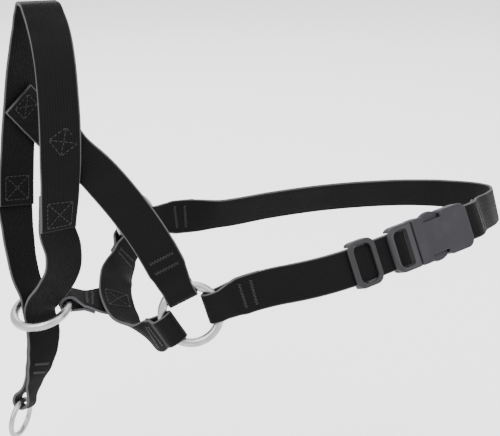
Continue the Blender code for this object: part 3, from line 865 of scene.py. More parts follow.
# ---- woven straps ------------------------------------------------------------------------------
@dataclass
class WovenStrap:
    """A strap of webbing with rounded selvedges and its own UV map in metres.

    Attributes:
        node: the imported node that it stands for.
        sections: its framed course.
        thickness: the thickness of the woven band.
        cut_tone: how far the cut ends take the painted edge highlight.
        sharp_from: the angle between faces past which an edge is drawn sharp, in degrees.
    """

    node: str
    sections: Course
    thickness: float = WOVEN_THICK
    cut_tone: float = 0.55
    sharp_from: float = 62

    def profile(self, width: float) -> list[tuple[float, float, float]]:
        """The cross-section, counter-clockwise.

        Args:
            width: the webbing's width here.

        Returns:
            Points as (across, normal, highlight), where highlight is 1 on the rounded edges, which take
            the painted edge highlight.
        """
        high = self.thickness / 2
        flat = width / 2 - high
        spans = 6
        points = [(-flat + 2 * flat * k / spans, -high, 0.0) for k in range(spans + 1)]
        angles = [math.radians(a) for a in (-60, -30, 0, 30, 60)]
        points += [(flat + high * math.cos(a), high * math.sin(a), 1.0) for a in angles]
        points += [(flat - 2 * flat * k / spans, high, 0.0) for k in range(spans + 1)]
        points += [(-flat - high * math.cos(a), -high * math.sin(a), 1.0) for a in angles]
        return points

    def build(self, finish: bpy.types.Material) -> bpy.types.Object:
        """The strap's mesh, with its UV map and the mask of its painted edge highlight.

        Args:
            finish: its material.

        Returns:
            The strap's object, not yet settled.
        """
        vertices: list[Vector] = []
        highlight_shares: list[float] = []
        spread: list[tuple[float, float]] = []
        last = len(self.sections) - 1
        for i, s in enumerate(self.sections):
            for across, lift, tone in self.profile(s.width):
                vertices.append(s.point + s.across * across + s.normal * lift)
                # Mask of the painted edge highlight: full on the rounded edges, and at least cut_tone at
                # the cut ends.
                highlight_shares.append(max(tone, self.cut_tone) if i in (0, last) else tone)
                spread.append((s.distance * MM, across * WEB_WIDTH / s.width * MM))
        count = len(vertices) // len(self.sections)
        faces: list[tuple[int, ...]] = []
        for i in range(last):
            a = count * i
            for k in range(count):
                n = (k + 1) % count
                faces.append((a + k, a + n, a + count + n, a + count + k))
        end = count * last
        faces.append(tuple(reversed(range(count))))
        faces.append(tuple(range(end, end + count)))
        item = object_from(f"{self.node}_webbing", vertices, faces, finish)
        mesh = item.data
        layer = mesh.uv_layers.new(name="strap")
        for loop in mesh.loops:
            layer.data[loop.index].uv = spread[loop.vertex_index]
        highlight_layer = mesh.attributes.new("edge_highlight", "FLOAT", "POINT")
        highlight_layer.data.foreach_set("value", highlight_shares)
        mesh.set_sharp_from_angle(angle=math.radians(self.sharp_from))
        return item


# ---- things laid along a course by Geometry Nodes ----------------------------------------------
@dataclass
class LaidRow:
    """Small rounded pieces laid one after another, such as stitches or grip ridges."""

    name: str
    places: list[Vector] = field(default_factory=list)
    directions: list[Vector] = field(default_factory=list)
    faces_out: list[Vector] = field(default_factory=list)

    def lay(self, place: Vector, direction: Vector, face_out: Vector) -> None:
        """Adds one piece.

        Args:
            place: where it lies, in millimetres.
            direction: the direction of its length.
            face_out: the direction of the face that it lies on.
        """
        self.places.append(place)
        self.directions.append(direction.normalized())
        self.faces_out.append(face_out.normalized())

    def build(self, length: float, width: float, height: float,
              finish: bpy.types.Material) -> bpy.types.Object:
        """Lays the pieces and turns the result into plain mesh.

        Args:
            length: each piece's length.
            width: its width.
            height: how far it stands up, both sides of its middle together.
            finish: its material.

        Returns:
            The row's object, not yet settled.
        """
        item = object_from(self.name, self.places, [], finish)
        for label, values in (("lies_along", self.directions), ("faces_out", self.faces_out)):
            stored = item.data.attributes.new(label, "FLOAT_VECTOR", "POINT")
            stored.data.foreach_set("vector", [c for v in values for c in v])
        tree, sockets = laying_tree()
        modifier = item.modifiers.new("laid_row", "NODES")
        modifier.node_group = tree
        for label, value in (("Piece Length", length * MM), ("Piece Width", width * MM),
                             ("Piece Height", height * MM), ("Finish", finish)):
            modifier[sockets[label]] = value
        baked(item)
        return item


LAYING: dict[str, object] = {}


def laying_tree() -> tuple[bpy.types.NodeTree, dict[str, str]]:
    """The Geometry Nodes tree that lays a rounded piece on each point, made once.

    Returns:
        The tree, and each input's identifier by its name.
    """
    if LAYING:
        return LAYING["tree"], LAYING["sockets"]
    tree = bpy.data.node_groups.new("lay_rounded_pieces", "GeometryNodeTree")
    face = tree.interface
    sockets: dict[str, str] = {}
    face.new_socket("Geometry", in_out="INPUT", socket_type="NodeSocketGeometry")
    for label in ("Piece Length", "Piece Width", "Piece Height"):
        made = face.new_socket(label, in_out="INPUT", socket_type="NodeSocketFloat")
        made.default_value = MM
        sockets[label] = made.identifier
    made = face.new_socket("Finish", in_out="INPUT", socket_type="NodeSocketMaterial")
    sockets["Finish"] = made.identifier
    face.new_socket("Geometry", in_out="OUTPUT", socket_type="NodeSocketGeometry")
    board = NodeBoard(tree)
    given = board.add("NodeGroupInput")
    result = board.add("NodeGroupOutput")
    bead = board.add("GeometryNodeMeshUVSphere")
    bead.inputs["Segments"].default_value = 8
    bead.inputs["Rings"].default_value = 6
    bead.inputs["Radius"].default_value = 0.5
    size = board.add("ShaderNodeCombineXYZ")
    for axis, label in enumerate(("Piece Length", "Piece Width", "Piece Height")):
        board.put(size.inputs[axis], given.outputs[label])
    shaped = board.add("GeometryNodeTransform")
    stood = board.add("GeometryNodeTransform")
    stood.inputs["Rotation"].default_value = (0.0, math.pi / 2, 0.0)
    board.put(stood.inputs["Geometry"], bead.outputs["Mesh"])
    board.put(shaped.inputs["Geometry"], stood.outputs["Geometry"])
    board.put(shaped.inputs["Scale"], size.outputs[0])
    turns = []
    for label, axis, pivot in (("lies_along", "X", "AUTO"), ("faces_out", "Z", "X")):
        named = board.add("GeometryNodeInputNamedAttribute", data_type="FLOAT_VECTOR")
        named.inputs["Name"].default_value = label
        turn = board.add("FunctionNodeAlignRotationToVector", axis=axis, pivot_axis=pivot)
        board.put(turn.inputs["Vector"], named.outputs["Attribute"])
        if turns:
            board.put(turn.inputs["Rotation"], turns[-1].outputs["Rotation"])
        turns.append(turn)
    laid = board.add("GeometryNodeInstanceOnPoints")
    board.put(laid.inputs["Points"], given.outputs["Geometry"])
    board.put(laid.inputs["Instance"], shaped.outputs["Geometry"])
    board.put(laid.inputs["Rotation"], turns[-1].outputs["Rotation"])
    real = board.add("GeometryNodeRealizeInstances")
    board.put(real.inputs["Geometry"], laid.outputs["Instances"])
    soft = board.add("GeometryNodeSetShadeSmooth")
    board.put(soft.inputs["Geometry"], real.outputs["Geometry"])
    dressed = board.add("GeometryNodeSetMaterial")
    board.put(dressed.inputs["Geometry"], soft.outputs["Geometry"])
    board.put(dressed.inputs["Material"], given.outputs["Finish"])
    board.put(result.inputs["Geometry"], dressed.outputs["Geometry"])
    LAYING.update(tree=tree, sockets=sockets)
    return tree, sockets


@dataclass
class Seam:
    """A sewn seam on one stretch of a strap, seen on both faces of the layers it joins.

    Attributes:
        node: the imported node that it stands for.
        body: the body that it rides on.
        course: the framed layer that it is sewn through.
        start: where it starts along the layer.
        end: where it ends.
        side: the layer's outer face, as 1 or -1.
        pattern: how it is sewn.
        outer_gap: how far the outermost face lies from the layer's middle.
        inner_gap: the same for the innermost face.
        half_width: how far it reaches to each side on full-width webbing.
        stitch_pitch: the distance from one stitch to the next.
        stitch_length: the length of a stitch.
        thread: the thread's width.
        thread_lift: how far the thread's middle lies off the face, as a share of its width.
        thread_flatness: the thread's height, as a share of its width.
        bar_length: how far a dense bar reaches along the webbing.
        bar_zigs: how often a dense bar's thread crosses.
    """

    node: str
    body: Body
    course: Course
    start: float
    end: float
    side: float
    pattern: SewnPattern = SewnPattern.BAR_TACK
    outer_gap: float = WOVEN_THICK / 2
    inner_gap: float = WOVEN_THICK / 2 + LAYER
    half_width: float = 6.6
    stitch_pitch: float = 2.35
    stitch_length: float = 2.0
    thread: float = 0.62
    thread_lift: float = 0.12
    thread_flatness: float = 0.8
    bar_length: float = 2.0
    bar_zigs: int = 16

    def lines(self) -> list[list[tuple[float, float]]]:
        """Lays out the seam's pattern.

        Returns:
            The rows of stitching, each a list of (along, across) corners.
        """
        a, b, w = self.start, self.end, self.half_width
        if self.pattern is SewnPattern.BOX_CROSS:
            return [[(a, -w), (b, -w), (b, w), (a, w), (a, -w)], [(a, -w), (b, w)], [(b, -w), (a, w)]]
        bar, zigs = self.bar_length, self.bar_zigs
        return [[(first + (bar if k % 2 else 0.0), -w + 2 * w * k / zigs) for k in range(zigs + 1)]
                for first in (a, b - bar)]

    def build(self, finish: bpy.types.Material) -> bpy.types.Object:
        """Lays the stitches on both faces.

        Args:
            finish: the thread's material.

        Returns:
            The seam's object.
        """
        row = LaidRow(f"{self.node}_stitches")
        lift = self.thread * self.thread_lift
        for lifted in (self.side * (self.outer_gap + lift), -self.side * (self.inner_gap + lift)):
            for corners in self.lines():
                for (a0, w0), (a1, w1) in zip(corners, corners[1:]):
                    self.lay_run(row, (a0, w0), (a1, w1), lifted)
        item = row.build(self.stitch_length, self.thread, self.thread * self.thread_flatness,
                         finish)
        return settle(item, self.body, Slot.THREAD, self.node)

    def lay_run(self, row: LaidRow, first: tuple[float, float], last: tuple[float, float],
                lifted: float) -> None:
        """Lays the stitches of one straight run.

        Args:
            row: the row to add to.
            first: the run's start, as (along, across).
            last: the run's end.
            lifted: how far off the layer's middle the thread lies.
        """
        span = math.hypot(last[0] - first[0], last[1] - first[1])
        count = max(1, round(span / self.stitch_pitch))
        for k in range(count):
            t = (k + 0.5) / count
            at = section_at(self.course, first[0] + (last[0] - first[0]) * t)
            scale = at.width / WEB_WIDTH
            reach = (first[1] + (last[1] - first[1]) * t) * scale
            direction = at.along * (last[0] - first[0]) + at.across * (last[1] - first[1]) * scale
            row.lay(at.point + at.across * reach + at.normal * lifted, direction,
                    at.normal * math.copysign(1.0, lifted))


def fold_tack(node: str, main: Course, at_start: bool, outward: Vector, start: float = 4.0,
              length: float = 8.0, body: Body = Body.STRAPS) -> Seam:
    """The seam that closes a fold round a ring.

    Args:
        node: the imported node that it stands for.
        main: the strap's main layer.
        at_start: whether the fold is at its start.
        outward: the direction of the main layer's outer face.
        start: how far from the main layer's end it starts.
        length: its length.
        body: the body that it rides on.

    Returns:
        The seam.
    """
    total = main[-1].distance
    near, far = start, start + length
    if not at_start:
        near, far = total - far, total - near
    at = section_at(main, (near + far) / 2)
    return Seam(node, body, main, near, far, at.side_to(outward))


# ---- the buckle's own frame --------------------------------------------------------------------
def frame_at(origin: Sequence[float], along: Sequence[float], up: Sequence[float]) -> Matrix:
    """A matrix with X along a strap, Y up across it and Z out of its face.

    Args:
        origin: its place.
        along: the strap's direction.
        up: roughly the direction of its width.

    Returns:
        The matrix.
    """
    x_axis = Vector(along).normalized()
    upward = Vector(up)
    y_axis = (upward - x_axis * upward.dot(x_axis)).normalized()
    turned = Matrix((x_axis, y_axis, x_axis.cross(y_axis))).transposed().to_4x4()
    return Matrix.Translation(Vector(origin)) @ turned


BUCKLE = frame_at((168.0, -57.4, -132.3), (0.971, 0.202, 0.118), (-0.24, 0.33, 0.91))


def on_buckle(x: float, z: float) -> Section:
    """A section of webbing in the buckle's frame."""
    return Section(BUCKLE @ Vector((x, 0.0, z)), BUCKLE.to_3x3().col[1].copy())


# ---- sub-assemblies ----------------------------------------------------------------------------
@dataclass
class NoseLoop:
    """The nose band, the slip strap that runs through the chin ring, and the leash ring."""

    leash_fold_at: Vector = field(default_factory=lambda: Vector((-19.5, 1.0, -210.5)))
    leash_fold_across: Vector = field(default_factory=lambda: Vector((0.58, 0.75, -0.31)).normalized())
    leash_hang: Vector = field(default_factory=lambda: Vector((-0.32, -0.17, -0.93)))

    def band(self) -> Course:
        """The nose band's course, from its left seam over the crown to its right seam.

        Returns:
            The course.
        """
        crown = [Section((0.0, CROWN_STEP * k, WEB_THICK / 2), X) for k in (-1.5, -0.5, 0.5, 1.5)]
        return smooth_course([
            Section((-1.8, -27.0, -107.0), (0.94, 0.30, -0.10)),
            Section((-0.5, -30.0, -86.0), (0.98, 0.12, -0.08)),
            Section((0.4, -31.0, -68.0), (0.98, -0.12, -0.05)),
            Section((1.1, -30.0, -54.0), (0.95, -0.28, 0.00)),
            Section((1.4, -28.0, -38.0), (0.93, -0.36, 0.00)),
            Section((1.5, -24.0, -22.7), (0.93, -0.36, 0.00)),
            Section((1.3, -17.5, -11.5), (0.96, -0.26, 0.00)),
            Section((0.6, -10.2, -3.6), (0.99, -0.08, 0.00)),
        ] + crown + [
            Section((-0.7, 9.2, -4.2), (0.99, 0.10, 0.00)),
            Section((-2.3, 13.5, -14.0), (0.95, 0.28, -0.06)),
            Section((-4.4, 19.0, -27.0), (0.91, 0.40, -0.12)),
            Section((-7.0, 25.5, -50.0), (0.88, 0.43, -0.20)),
            Section((-9.3, 29.0, -76.0), (0.92, 0.32, -0.20)),
            Section((-11.0, 29.3, -94.0), (0.94, 0.25, -0.20)),
            Section((-12.2, 28.0, -109.0), (0.95, 0.23, -0.20)),
        ])

    def tucked(self, nose: Course, at_start: bool) -> Course:
        """The slip strap's end beside the nose band, from its cut end to the seam.

        Args:
            nose: the nose band's course.
            at_start: whether it lies at the band's start.

        Returns:
            The stations.
        """
        total = nose[-1].distance
        stations = []
        for reach in (NOSE_TUCK, NOSE_TUCK * 2 / 3, NOSE_TUCK / 3, 1.0):
            at = section_at(nose, reach if at_start else total - reach)
            stations.append(at.shifted(at.side_to(Y) * LAYER))
        return stations

    def slip(self, nose: Course) -> tuple[Course, Course, float]:
        """The slip strap's course.

        Args:
            nose: the nose band's course.

        Returns:
            The whole course, the middle line of its hanging part, and that part's outer face.
        """
        left_leg = self.tucked(nose, True) + [
            Section((1.0, -22.6, -120.0), (0.96, 0.25, -0.07)),
            Section((1.0, -19.0, -131.5), (0.98, 0.14, -0.06), 19.5),
            Section((-3.2, -14.4, -142.5), (0.98, 0.04, -0.12), 18.5),
            Section((-8.2, -7.6, -152.5), (0.98, -0.08, -0.16), SLIP_WIDTH),
        ]
        right_leg = [
            Section((-9.8, 5.2, -153.5), (0.93, 0.32, -0.18), 18.0),
            Section((-12.2, 11.6, -145.8), (0.89, 0.42, -0.22), 19.0),
            Section((-13.0, 18.2, -136.0), (0.88, 0.42, -0.24), 19.5),
            Section((-13.1, 24.0, -123.5), (0.90, 0.34, -0.26)),
        ] + list(reversed(self.tucked(nose, False)))
        middle = smooth_course([
            Section((-8.6, 0.2, -162.5), (0.98, 0.06, -0.06), SLIP_WIDTH),
            Section((-7.4, 0.0, -172.0), (0.98, 0.14, -0.10), 18.0),
            Section((-8.4, 0.0, -182.0), (0.95, 0.24, -0.18), 17.5),
            Section((-10.6, 0.2, -191.0), (0.89, 0.38, -0.22), 16.0),
            Section((-14.2, 0.6, -200.5), (0.74, 0.58, -0.28), 13.0),
        ], 1.6)
        away = middle[-1].point - self.leash_fold_at
        away = (away - self.leash_fold_across * away.dot(self.leash_fold_across)).normalized()
        outward = self.leash_fold_across.cross(away)
        if outward.dot(-Y) < 0:
            outward = -outward
        radius = (LEASH_BORE + LEASH_WIRE) / 2
        swing = radius - math.sqrt((LEASH_BORE / 2) ** 2 - (LEASH_FOLD_WIDTH / 2) ** 2)
        arc = round_bar(self.leash_fold_at, away, outward, swing + FOLD_FIT + WEB_THICK / 2,
                        self.leash_fold_across, LEASH_FOLD_WIDTH)
        side = middle[-1].side_to(outward)
        down = [s.shifted(side * LAYER / 2) for s in middle]
        up = [s.shifted(-side * LAYER / 2) for s in reversed(middle)]
        return smooth_course(left_leg + down + arc + up + right_leg), middle, side

    def leash_ring(self) -> WireRing:
        """The leash ring, hanging from the slip strap's fold.

        Returns:
            The ring.
        """
        hang = self.leash_hang - self.leash_fold_across * self.leash_hang.dot(self.leash_fold_across)
        hang.normalize()
        centre = self.leash_fold_at + hang * (LEASH_BORE + LEASH_WIRE) / 2
        return WireRing("leash_ring", Body.LEASH, centre, self.leash_fold_across.cross(hang),
                        LEASH_BORE, LEASH_WIRE, 60.0)

    def build(self, nose: Course, webbing: bpy.types.Material, thread: bpy.types.Material,
              steel: bpy.types.Material) -> None:
        """Builds the loop.

        Args:
            nose: the nose band's course.
            webbing: the straps' material.
            thread: the seams' material.
            steel: the ring's material.
        """
        settle(WovenStrap("nose_band", nose).build(webbing), Body.STRAPS, Slot.WEBBING, "nose_band")
        slip, middle, side = self.slip(nose)
        strap = WovenStrap("slip_strap", slip).build(webbing)
        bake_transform(strap)
        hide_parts("slip_strap")
        Seam("left_nose_seam", Body.STRAPS, nose, 2.0, 15.0, nose[0].side_to(-Y),
             SewnPattern.BOX_CROSS).build(thread)
        end = slip[-1].distance
        Seam("right_nose_seam", Body.STRAPS, slip, end - 15.0, end - 2.0, slip[-1].side_to(Y),
             SewnPattern.BOX_CROSS).build(thread)
        total = middle[-1].distance
        gap = WOVEN_THICK / 2 + LAYER / 2
        Seam("leash_fold_seam", Body.SLIP, middle, total - 12.5, total - 5.5, side,
             outer_gap=gap, inner_gap=gap, half_width=5.6).build(thread)
        self.leash_ring().build(steel)


@dataclass
class CheekFrame:
    """The three large rings and the straps that join them to the nose band."""

    chin: WireRing = field(default_factory=lambda: WireRing(
        "chin_ring", Body.CHIN, (-7.5, 0, -159), (-0.278, -0.192, 0.942)))
    left: WireRing = field(default_factory=lambda: WireRing(
        "left_cheek_ring", Body.LEFT_RING, (59, -50, -153), (-0.30, -0.93, 0.20)))
    right: WireRing = field(default_factory=lambda: WireRing(
        "right_cheek_ring", Body.RIGHT_RING, (60.5, 50, -134), (-0.548, 0.783, -0.274)))

    def on_nose(self, nose: Course, distance: float, lean_along: float,
                lean_across: float) -> Course:
        """Stations of a cheek strap on the nose band's inner face, cut end first.

        Args:
            nose: the nose band's course.
            distance: where the seam lies along it.
            lean_along: how the cheek strap leans along the band.
            lean_across: how it leans across the band.

        Returns:
            The stations.
        """
        stations = []
        for reach in (-4, 0, 4, 8):
            at = section_at(nose, distance + lean_along * reach)
            side = 1 if at.normal.y * -at.point.y > 0 else -1
            place = at.point + at.across * lean_across * reach + at.normal * side * (LAYER + CHEEK_LIFT)
            down = at.along * math.copysign(1, lean_along)
            stations.append(Section(place, at.across * abs(lean_along) - down * lean_across))
        return stations

    def left_cheek(self, nose: Course) -> tuple[Course, Course]:
        """The left cheek strap, from the nose band down to its ring.

        Args:
            nose: the nose band's course.

        Returns:
            The whole course, and its main layer alone.
        """
        free = self.on_nose(nose, 48.0, -0.80, 0.60) + [
            Section((15.2, -29.4, -75.6), (0.78, -0.30, 0.56)),
            Section((23.5, -35.2, -86.0), (0.80, -0.16, 0.58)),
            Section((32.8, -39.8, -99.5), (0.82, -0.16, 0.55)),
            Section((40.6, -43.4, -112.8), (0.84, -0.18, 0.52)),
        ]
        return folded_strap(free, end=self.left.fold(112, (-0.42, 0.13, 0.90), self.left.normal))

    def right_cheek(self, nose: Course) -> tuple[Course, Course]:
        """The right cheek strap, from the nose band down to its ring.

        Args:
            nose: the nose band's course.

        Returns:
            The whole course, and its main layer alone.
        """
        free = self.on_nose(nose, nose[-1].distance - 57.0, 0.72, 0.69) + [
            Section((9.5, 31.4, -72.0), (0.72, 0.16, 0.66)),
            Section((22.0, 37.0, -85.0), (0.72, 0.24, 0.62)),
            Section((34.5, 43.0, -98.0), (0.75, 0.40, 0.48)),
        ]
        return folded_strap(free, end=self.right.fold(138, (-0.62, -0.30, 0.72), self.right.normal))

    def throat(self) -> tuple[Course, Course]:
        """The throat strap, from the right cheek ring to the left one.

        Returns:
            The whole course, and its main layer alone.
        """
        start = self.right.fold(-132, (-0.50, -0.72, -0.48), -self.right.normal)
        end = self.left.fold(-150, (-0.38, 0.86, -0.40), self.left.normal)
        free = [
            Section((36.6, 12.0, -153.8), (0.89, 0.24, -0.36)),
            Section((33.2, -1.0, -158.5), (0.93, 0.26, -0.26)),
            Section((33.4, -12.0, -163.4), (0.91, 0.27, -0.31)),
            Section((38.0, -24.6, -168.9), (0.74, 0.06, -0.66), 17.6),
        ]
        return folded_strap(free, start, end, SHORT_LAP_END)

    def chin_link(self, throat: Course) -> tuple[Course, Course, Section]:
        """The link strap from the chin ring to the underside of the throat strap.

        Args:
            throat: the throat strap's main layer.

        Returns:
            The whole course, its main layer, and its seat on the throat strap.
        """
        at = section_at(throat, throat[-1].distance * 0.50)
        below = at.normal if at.normal.z < 0 else -at.normal
        forward = at.across if at.across.x > 0 else -at.across
        seat = at.point + below * (LAYER + LINK_LIFT)
        seam = [Section(seat + forward * reach, at.along) for reach in (-7.0, -2.0, 4.0, 9.0)]
        fold = self.chin.fold(0, (1.0, 0.0, -0.26), Z, LINK_FOLD_WIDTH)
        fold.main = fold.main[:1]
        full, main = folded_strap(seam, start=fold, lap=LINK_LAP_END)
        return full, main, at

    def build(self, nose: Course, webbing: bpy.types.Material, thread: bpy.types.Material,
              steel: bpy.types.Material) -> None:
        """Builds the rings, the cheek straps, the throat strap and the chin link.

        Args:
            nose: the nose band's course.
            webbing: the straps' material.
            thread: the seams' material.
            steel: the rings' material.
        """
        left, left_main = self.left_cheek(nose)
        right, right_main = self.right_cheek(nose)
        throat, throat_main = self.throat()
        link, link_main, seat = self.chin_link(throat_main)
        for node, course in (("left_cheek_strap", left), ("right_cheek_strap", right),
                             ("throat_strap", throat), ("chin_link_strap", link)):
            settle(WovenStrap(node, course).build(webbing), Body.STRAPS, Slot.WEBBING, node)
        through_nose = WOVEN_THICK / 2 + LAYER + CHEEK_LIFT
        for node, course, inward in (("left_cheek_nose_seam", left, Y),
                                     ("right_cheek_nose_seam", right, -Y)):
            Seam(node, Body.STRAPS, course, 2.0, 11.0, course[2].side_to(inward),
                 SewnPattern.BOX_CROSS, inner_gap=through_nose, half_width=5.2).build(thread)
        Seam("chin_link_throat_seam", Body.STRAPS, throat_main, seat.distance - 5.5,
             seat.distance + 5.5, seat.side_to(Z), SewnPattern.BOX_CROSS,
             inner_gap=WOVEN_THICK / 2 + LAYER + LINK_LIFT).build(thread)
        for seam in (fold_tack("left_cheek_ring_seam", left_main, False, -Y),
                     fold_tack("right_cheek_ring_seam", right_main, False, Y),
                     fold_tack("left_throat_ring_seam", throat_main, False, self.left.normal, 1.0, 5.0),
                     fold_tack("right_throat_ring_seam", throat_main, True, -self.right.normal, 1.0, 6.0),
                     fold_tack("chin_link_ring_seam", link_main, True, Z, 0.5, 5.0)):
            seam.build(thread)
        for ring in (self.chin, self.left, self.right):
            ring.build(steel)


@dataclass
class NeckBand:
    """The two neck straps, which meet in the side-release buckle."""

    left_ring: WireRing
    right_ring: WireRing

    def glide_arc(self) -> tuple[Vector, Vector]:
        """Works out the arc that the glide follows.

        Returns:
            Its centre and its axis.
        """
        axes = BUCKLE.to_3x3()
        tilt = math.radians(GLIDE_ARC_TILT)
        bend = axes.col[1] * math.sin(tilt) - axes.col[2] * math.cos(tilt)
        centre = BUCKLE.translation + axes.col[0] * GLIDE_X + bend * GLIDE_ARC_RADIUS
        return centre, bend.cross(axes.col[0])

    def left(self) -> tuple[Course, Course]:
        """The left strap, from its ring through the glide, round the insert's bar and back.

        Returns:
            The whole course, and its main layer alone.
        """
        axes = BUCKLE.to_3x3()
        fold = self.left_ring.fold(14, (0.99, -0.10, 0.12), self.left_ring.normal)
        centre, hinge = self.glide_arc()
        at_glide = on_buckle(GLIDE_X, LAYER / 2)
        arc = []
        for k in range(GLIDE_ARC_STEPS, 0, -1):
            turn = Matrix.Rotation(GLIDE_ARC_LENGTH / GLIDE_ARC_RADIUS * k / GLIDE_ARC_STEPS, 3, hinge)
            arc.append(Section(centre + turn @ (at_glide.point - centre), turn @ axes.col[1]))
        stations = fold.main + arc + [at_glide, on_buckle(-9.0, LAYER / 2),
                                      on_buckle(ENTRY_X, LAYER / 2)]
        main = smooth_course(stations)
        outward = main[-1].side_to(axes.col[2])
        turned = round_bar(BUCKLE @ Vector((INSERT_BAR_X, 0, 0)), -axes.col[0], axes.col[2].copy(),
                           BAR_TURN, axes.col[1].copy(), WEB_WIDTH)
        tail_from = main[-1].distance - GLIDE_FROM_BUCKLE - TAIL_BEYOND_GLIDE
        back = [s.folded_back(-outward * LAYER) for s in reversed(main) if s.distance > tail_from]
        return self.joined(main, fold, turned + back), main

    def right(self) -> tuple[Course, Course]:
        """The right strap, from its ring round the nape to the bar inside the socket.

        Returns:
            The whole course, and its main layer alone.
        """
        axes = BUCKLE.to_3x3()
        fold = self.right_ring.fold(0, (1.0, 0.02, -0.02), -self.right_ring.normal)
        main = smooth_course(fold.main + [
            Section((116.0, 54.6, -137.0), (-0.13, -0.28, 0.95)),
            Section((148.0, 56.2, -135.8), (-0.12, -0.31, 0.94)),
            Section((182.0, 55.8, -135.0), (-0.12, -0.31, 0.94)),
            Section((214.0, 52.4, -135.0), (-0.13, -0.30, 0.94)),
            Section((240.0, 45.4, -135.0), (-0.15, -0.28, 0.95)),
            Section((259.0, 34.6, -134.8), (-0.18, -0.20, 0.96)),
            Section((270.0, 19.5, -133.6), (-0.20, -0.10, 0.97)),
            Section((271.5, 3.0, -131.4), (-0.22, 0.00, 0.97)),
            Section((264.5, -12.5, -129.0), (-0.24, 0.10, 0.96)),
            Section((253.0, -25.0, -127.0), (-0.25, 0.20, 0.94)),
            Section((240.5, -34.6, -125.6), (-0.26, 0.28, 0.93)),
            on_buckle(SOCKET_BAR_X + 13.0, LAYER / 2), on_buckle(SOCKET_BAR_X + 7.0, LAYER / 2),
        ])
        outward = main[-1].side_to(axes.col[2])
        turned = round_bar(BUCKLE @ Vector((SOCKET_BAR_X, 0, 0)), axes.col[0].copy(),
                           axes.col[2].copy(), BAR_TURN, axes.col[1].copy(), WEB_WIDTH)
        total = main[-1].distance
        back = [s.folded_back(-outward * LAYER) for s in reversed(main) if total - s.distance < 19.0]
        return self.joined(main, fold, turned + back), main

    def joined(self, main: Course, fold: Fold, beyond: Course) -> Course:
        """Joins a neck strap from its lap at the ring to its cut end.

        Args:
            main: its main layer.
            fold: its fold round the ring.
            beyond: its turn round the buckle's bar and the layer back from there.

        Returns:
            The whole course.
        """
        full = list(reversed(lap_of(main, fold))) + list(reversed(fold.arc)) + main + beyond
        return with_frames([copy(s) for s in full])

    def build(self, webbing: bpy.types.Material, thread: bpy.types.Material) -> None:
        """Builds both straps and their seams.

        Args:
            webbing: the straps' material.
            thread: the seams' material.
        """
        left, left_main = self.left()
        settle(WovenStrap("left_neck_strap", left).build(webbing), Body.STRAPS, Slot.WEBBING,
               "left_neck_strap")
        fold_tack("left_neck_ring_seam", left_main, True, -Y).build(thread)
        right, right_main = self.right()
        strap = WovenStrap("right_neck_strap", right).build(webbing)
        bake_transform(strap)
        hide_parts("right_neck_strap")
        fold_tack("right_neck_ring_seam", right_main, True, -Y).build(thread)
        end = right_main[-1]
        Seam("socket_seam", Body.BUCKLE_HALF, right_main, end.distance - 17.0, end.distance - 9.0,
             end.side_to(-Y)).build(thread)


def rounded_outline(x0: float, x1: float, half: float, start_radius: float, end_radius: float,
                    steps: int = 7) -> list[tuple[float, float]]:
    """A rectangle with rounded corners.

    Args:
        x0: where it starts.
        x1: where it ends.
        half: how far it reaches to each side.
        start_radius: the radius of its corners at x0.
        end_radius: the radius of its corners at x1.
        steps: the facets of each corner.

    Returns:
        The corners, counter-clockwise.
    """
    outline = []
    for x, y, radius, first in ((x0, -half, start_radius, 180), (x1, -half, end_radius, 270),
                                (x1, half, end_radius, 0), (x0, half, start_radius, 90)):
        inside_x = x + radius if x == x0 else x - radius
        inside_y = y - math.copysign(radius, y)
        for k in range(steps + 1):
            turn = math.radians(first + 90 * k / steps)
            outline.append((inside_x + radius * math.cos(turn), inside_y + radius * math.sin(turn)))
    return outline


def square_outline(x0: float, x1: float, half: float) -> list[tuple[float, float]]:
    """A plain rectangle from x0 to x1 and half to each side, counter-clockwise."""
    return [(x0, -half), (x1, -half), (x1, half), (x0, half)]


@dataclass
class Block:
    """A flat block in the buckle's frame, cut away from a moulding or added to it.

    Attributes:
        outline: its outline in X and Y, counter-clockwise.
        low: its lower face.
        high: its upper face.
        adds: whether it is added.
    """

    outline: list[tuple[float, float]]
    low: float
    high: float
    adds: bool = False

    def mesh_at(self, place: Matrix) -> tuple[list[Vector], list[tuple[int, ...]]]:
        """The block's mesh.

        Args:
            place: where the block's frame lies.

        Returns:
            Its vertices and its faces.
        """
        count = len(self.outline)
        vertices = [place @ Vector((x, y, z)) for z in (self.low, self.high) for x, y in self.outline]
        faces: list[tuple[int, ...]] = [tuple(reversed(range(count))), tuple(range(count, 2 * count))]
        faces += [(i, (i + 1) % count, (i + 1) % count + count, i + count) for i in range(count)]
        return vertices, faces


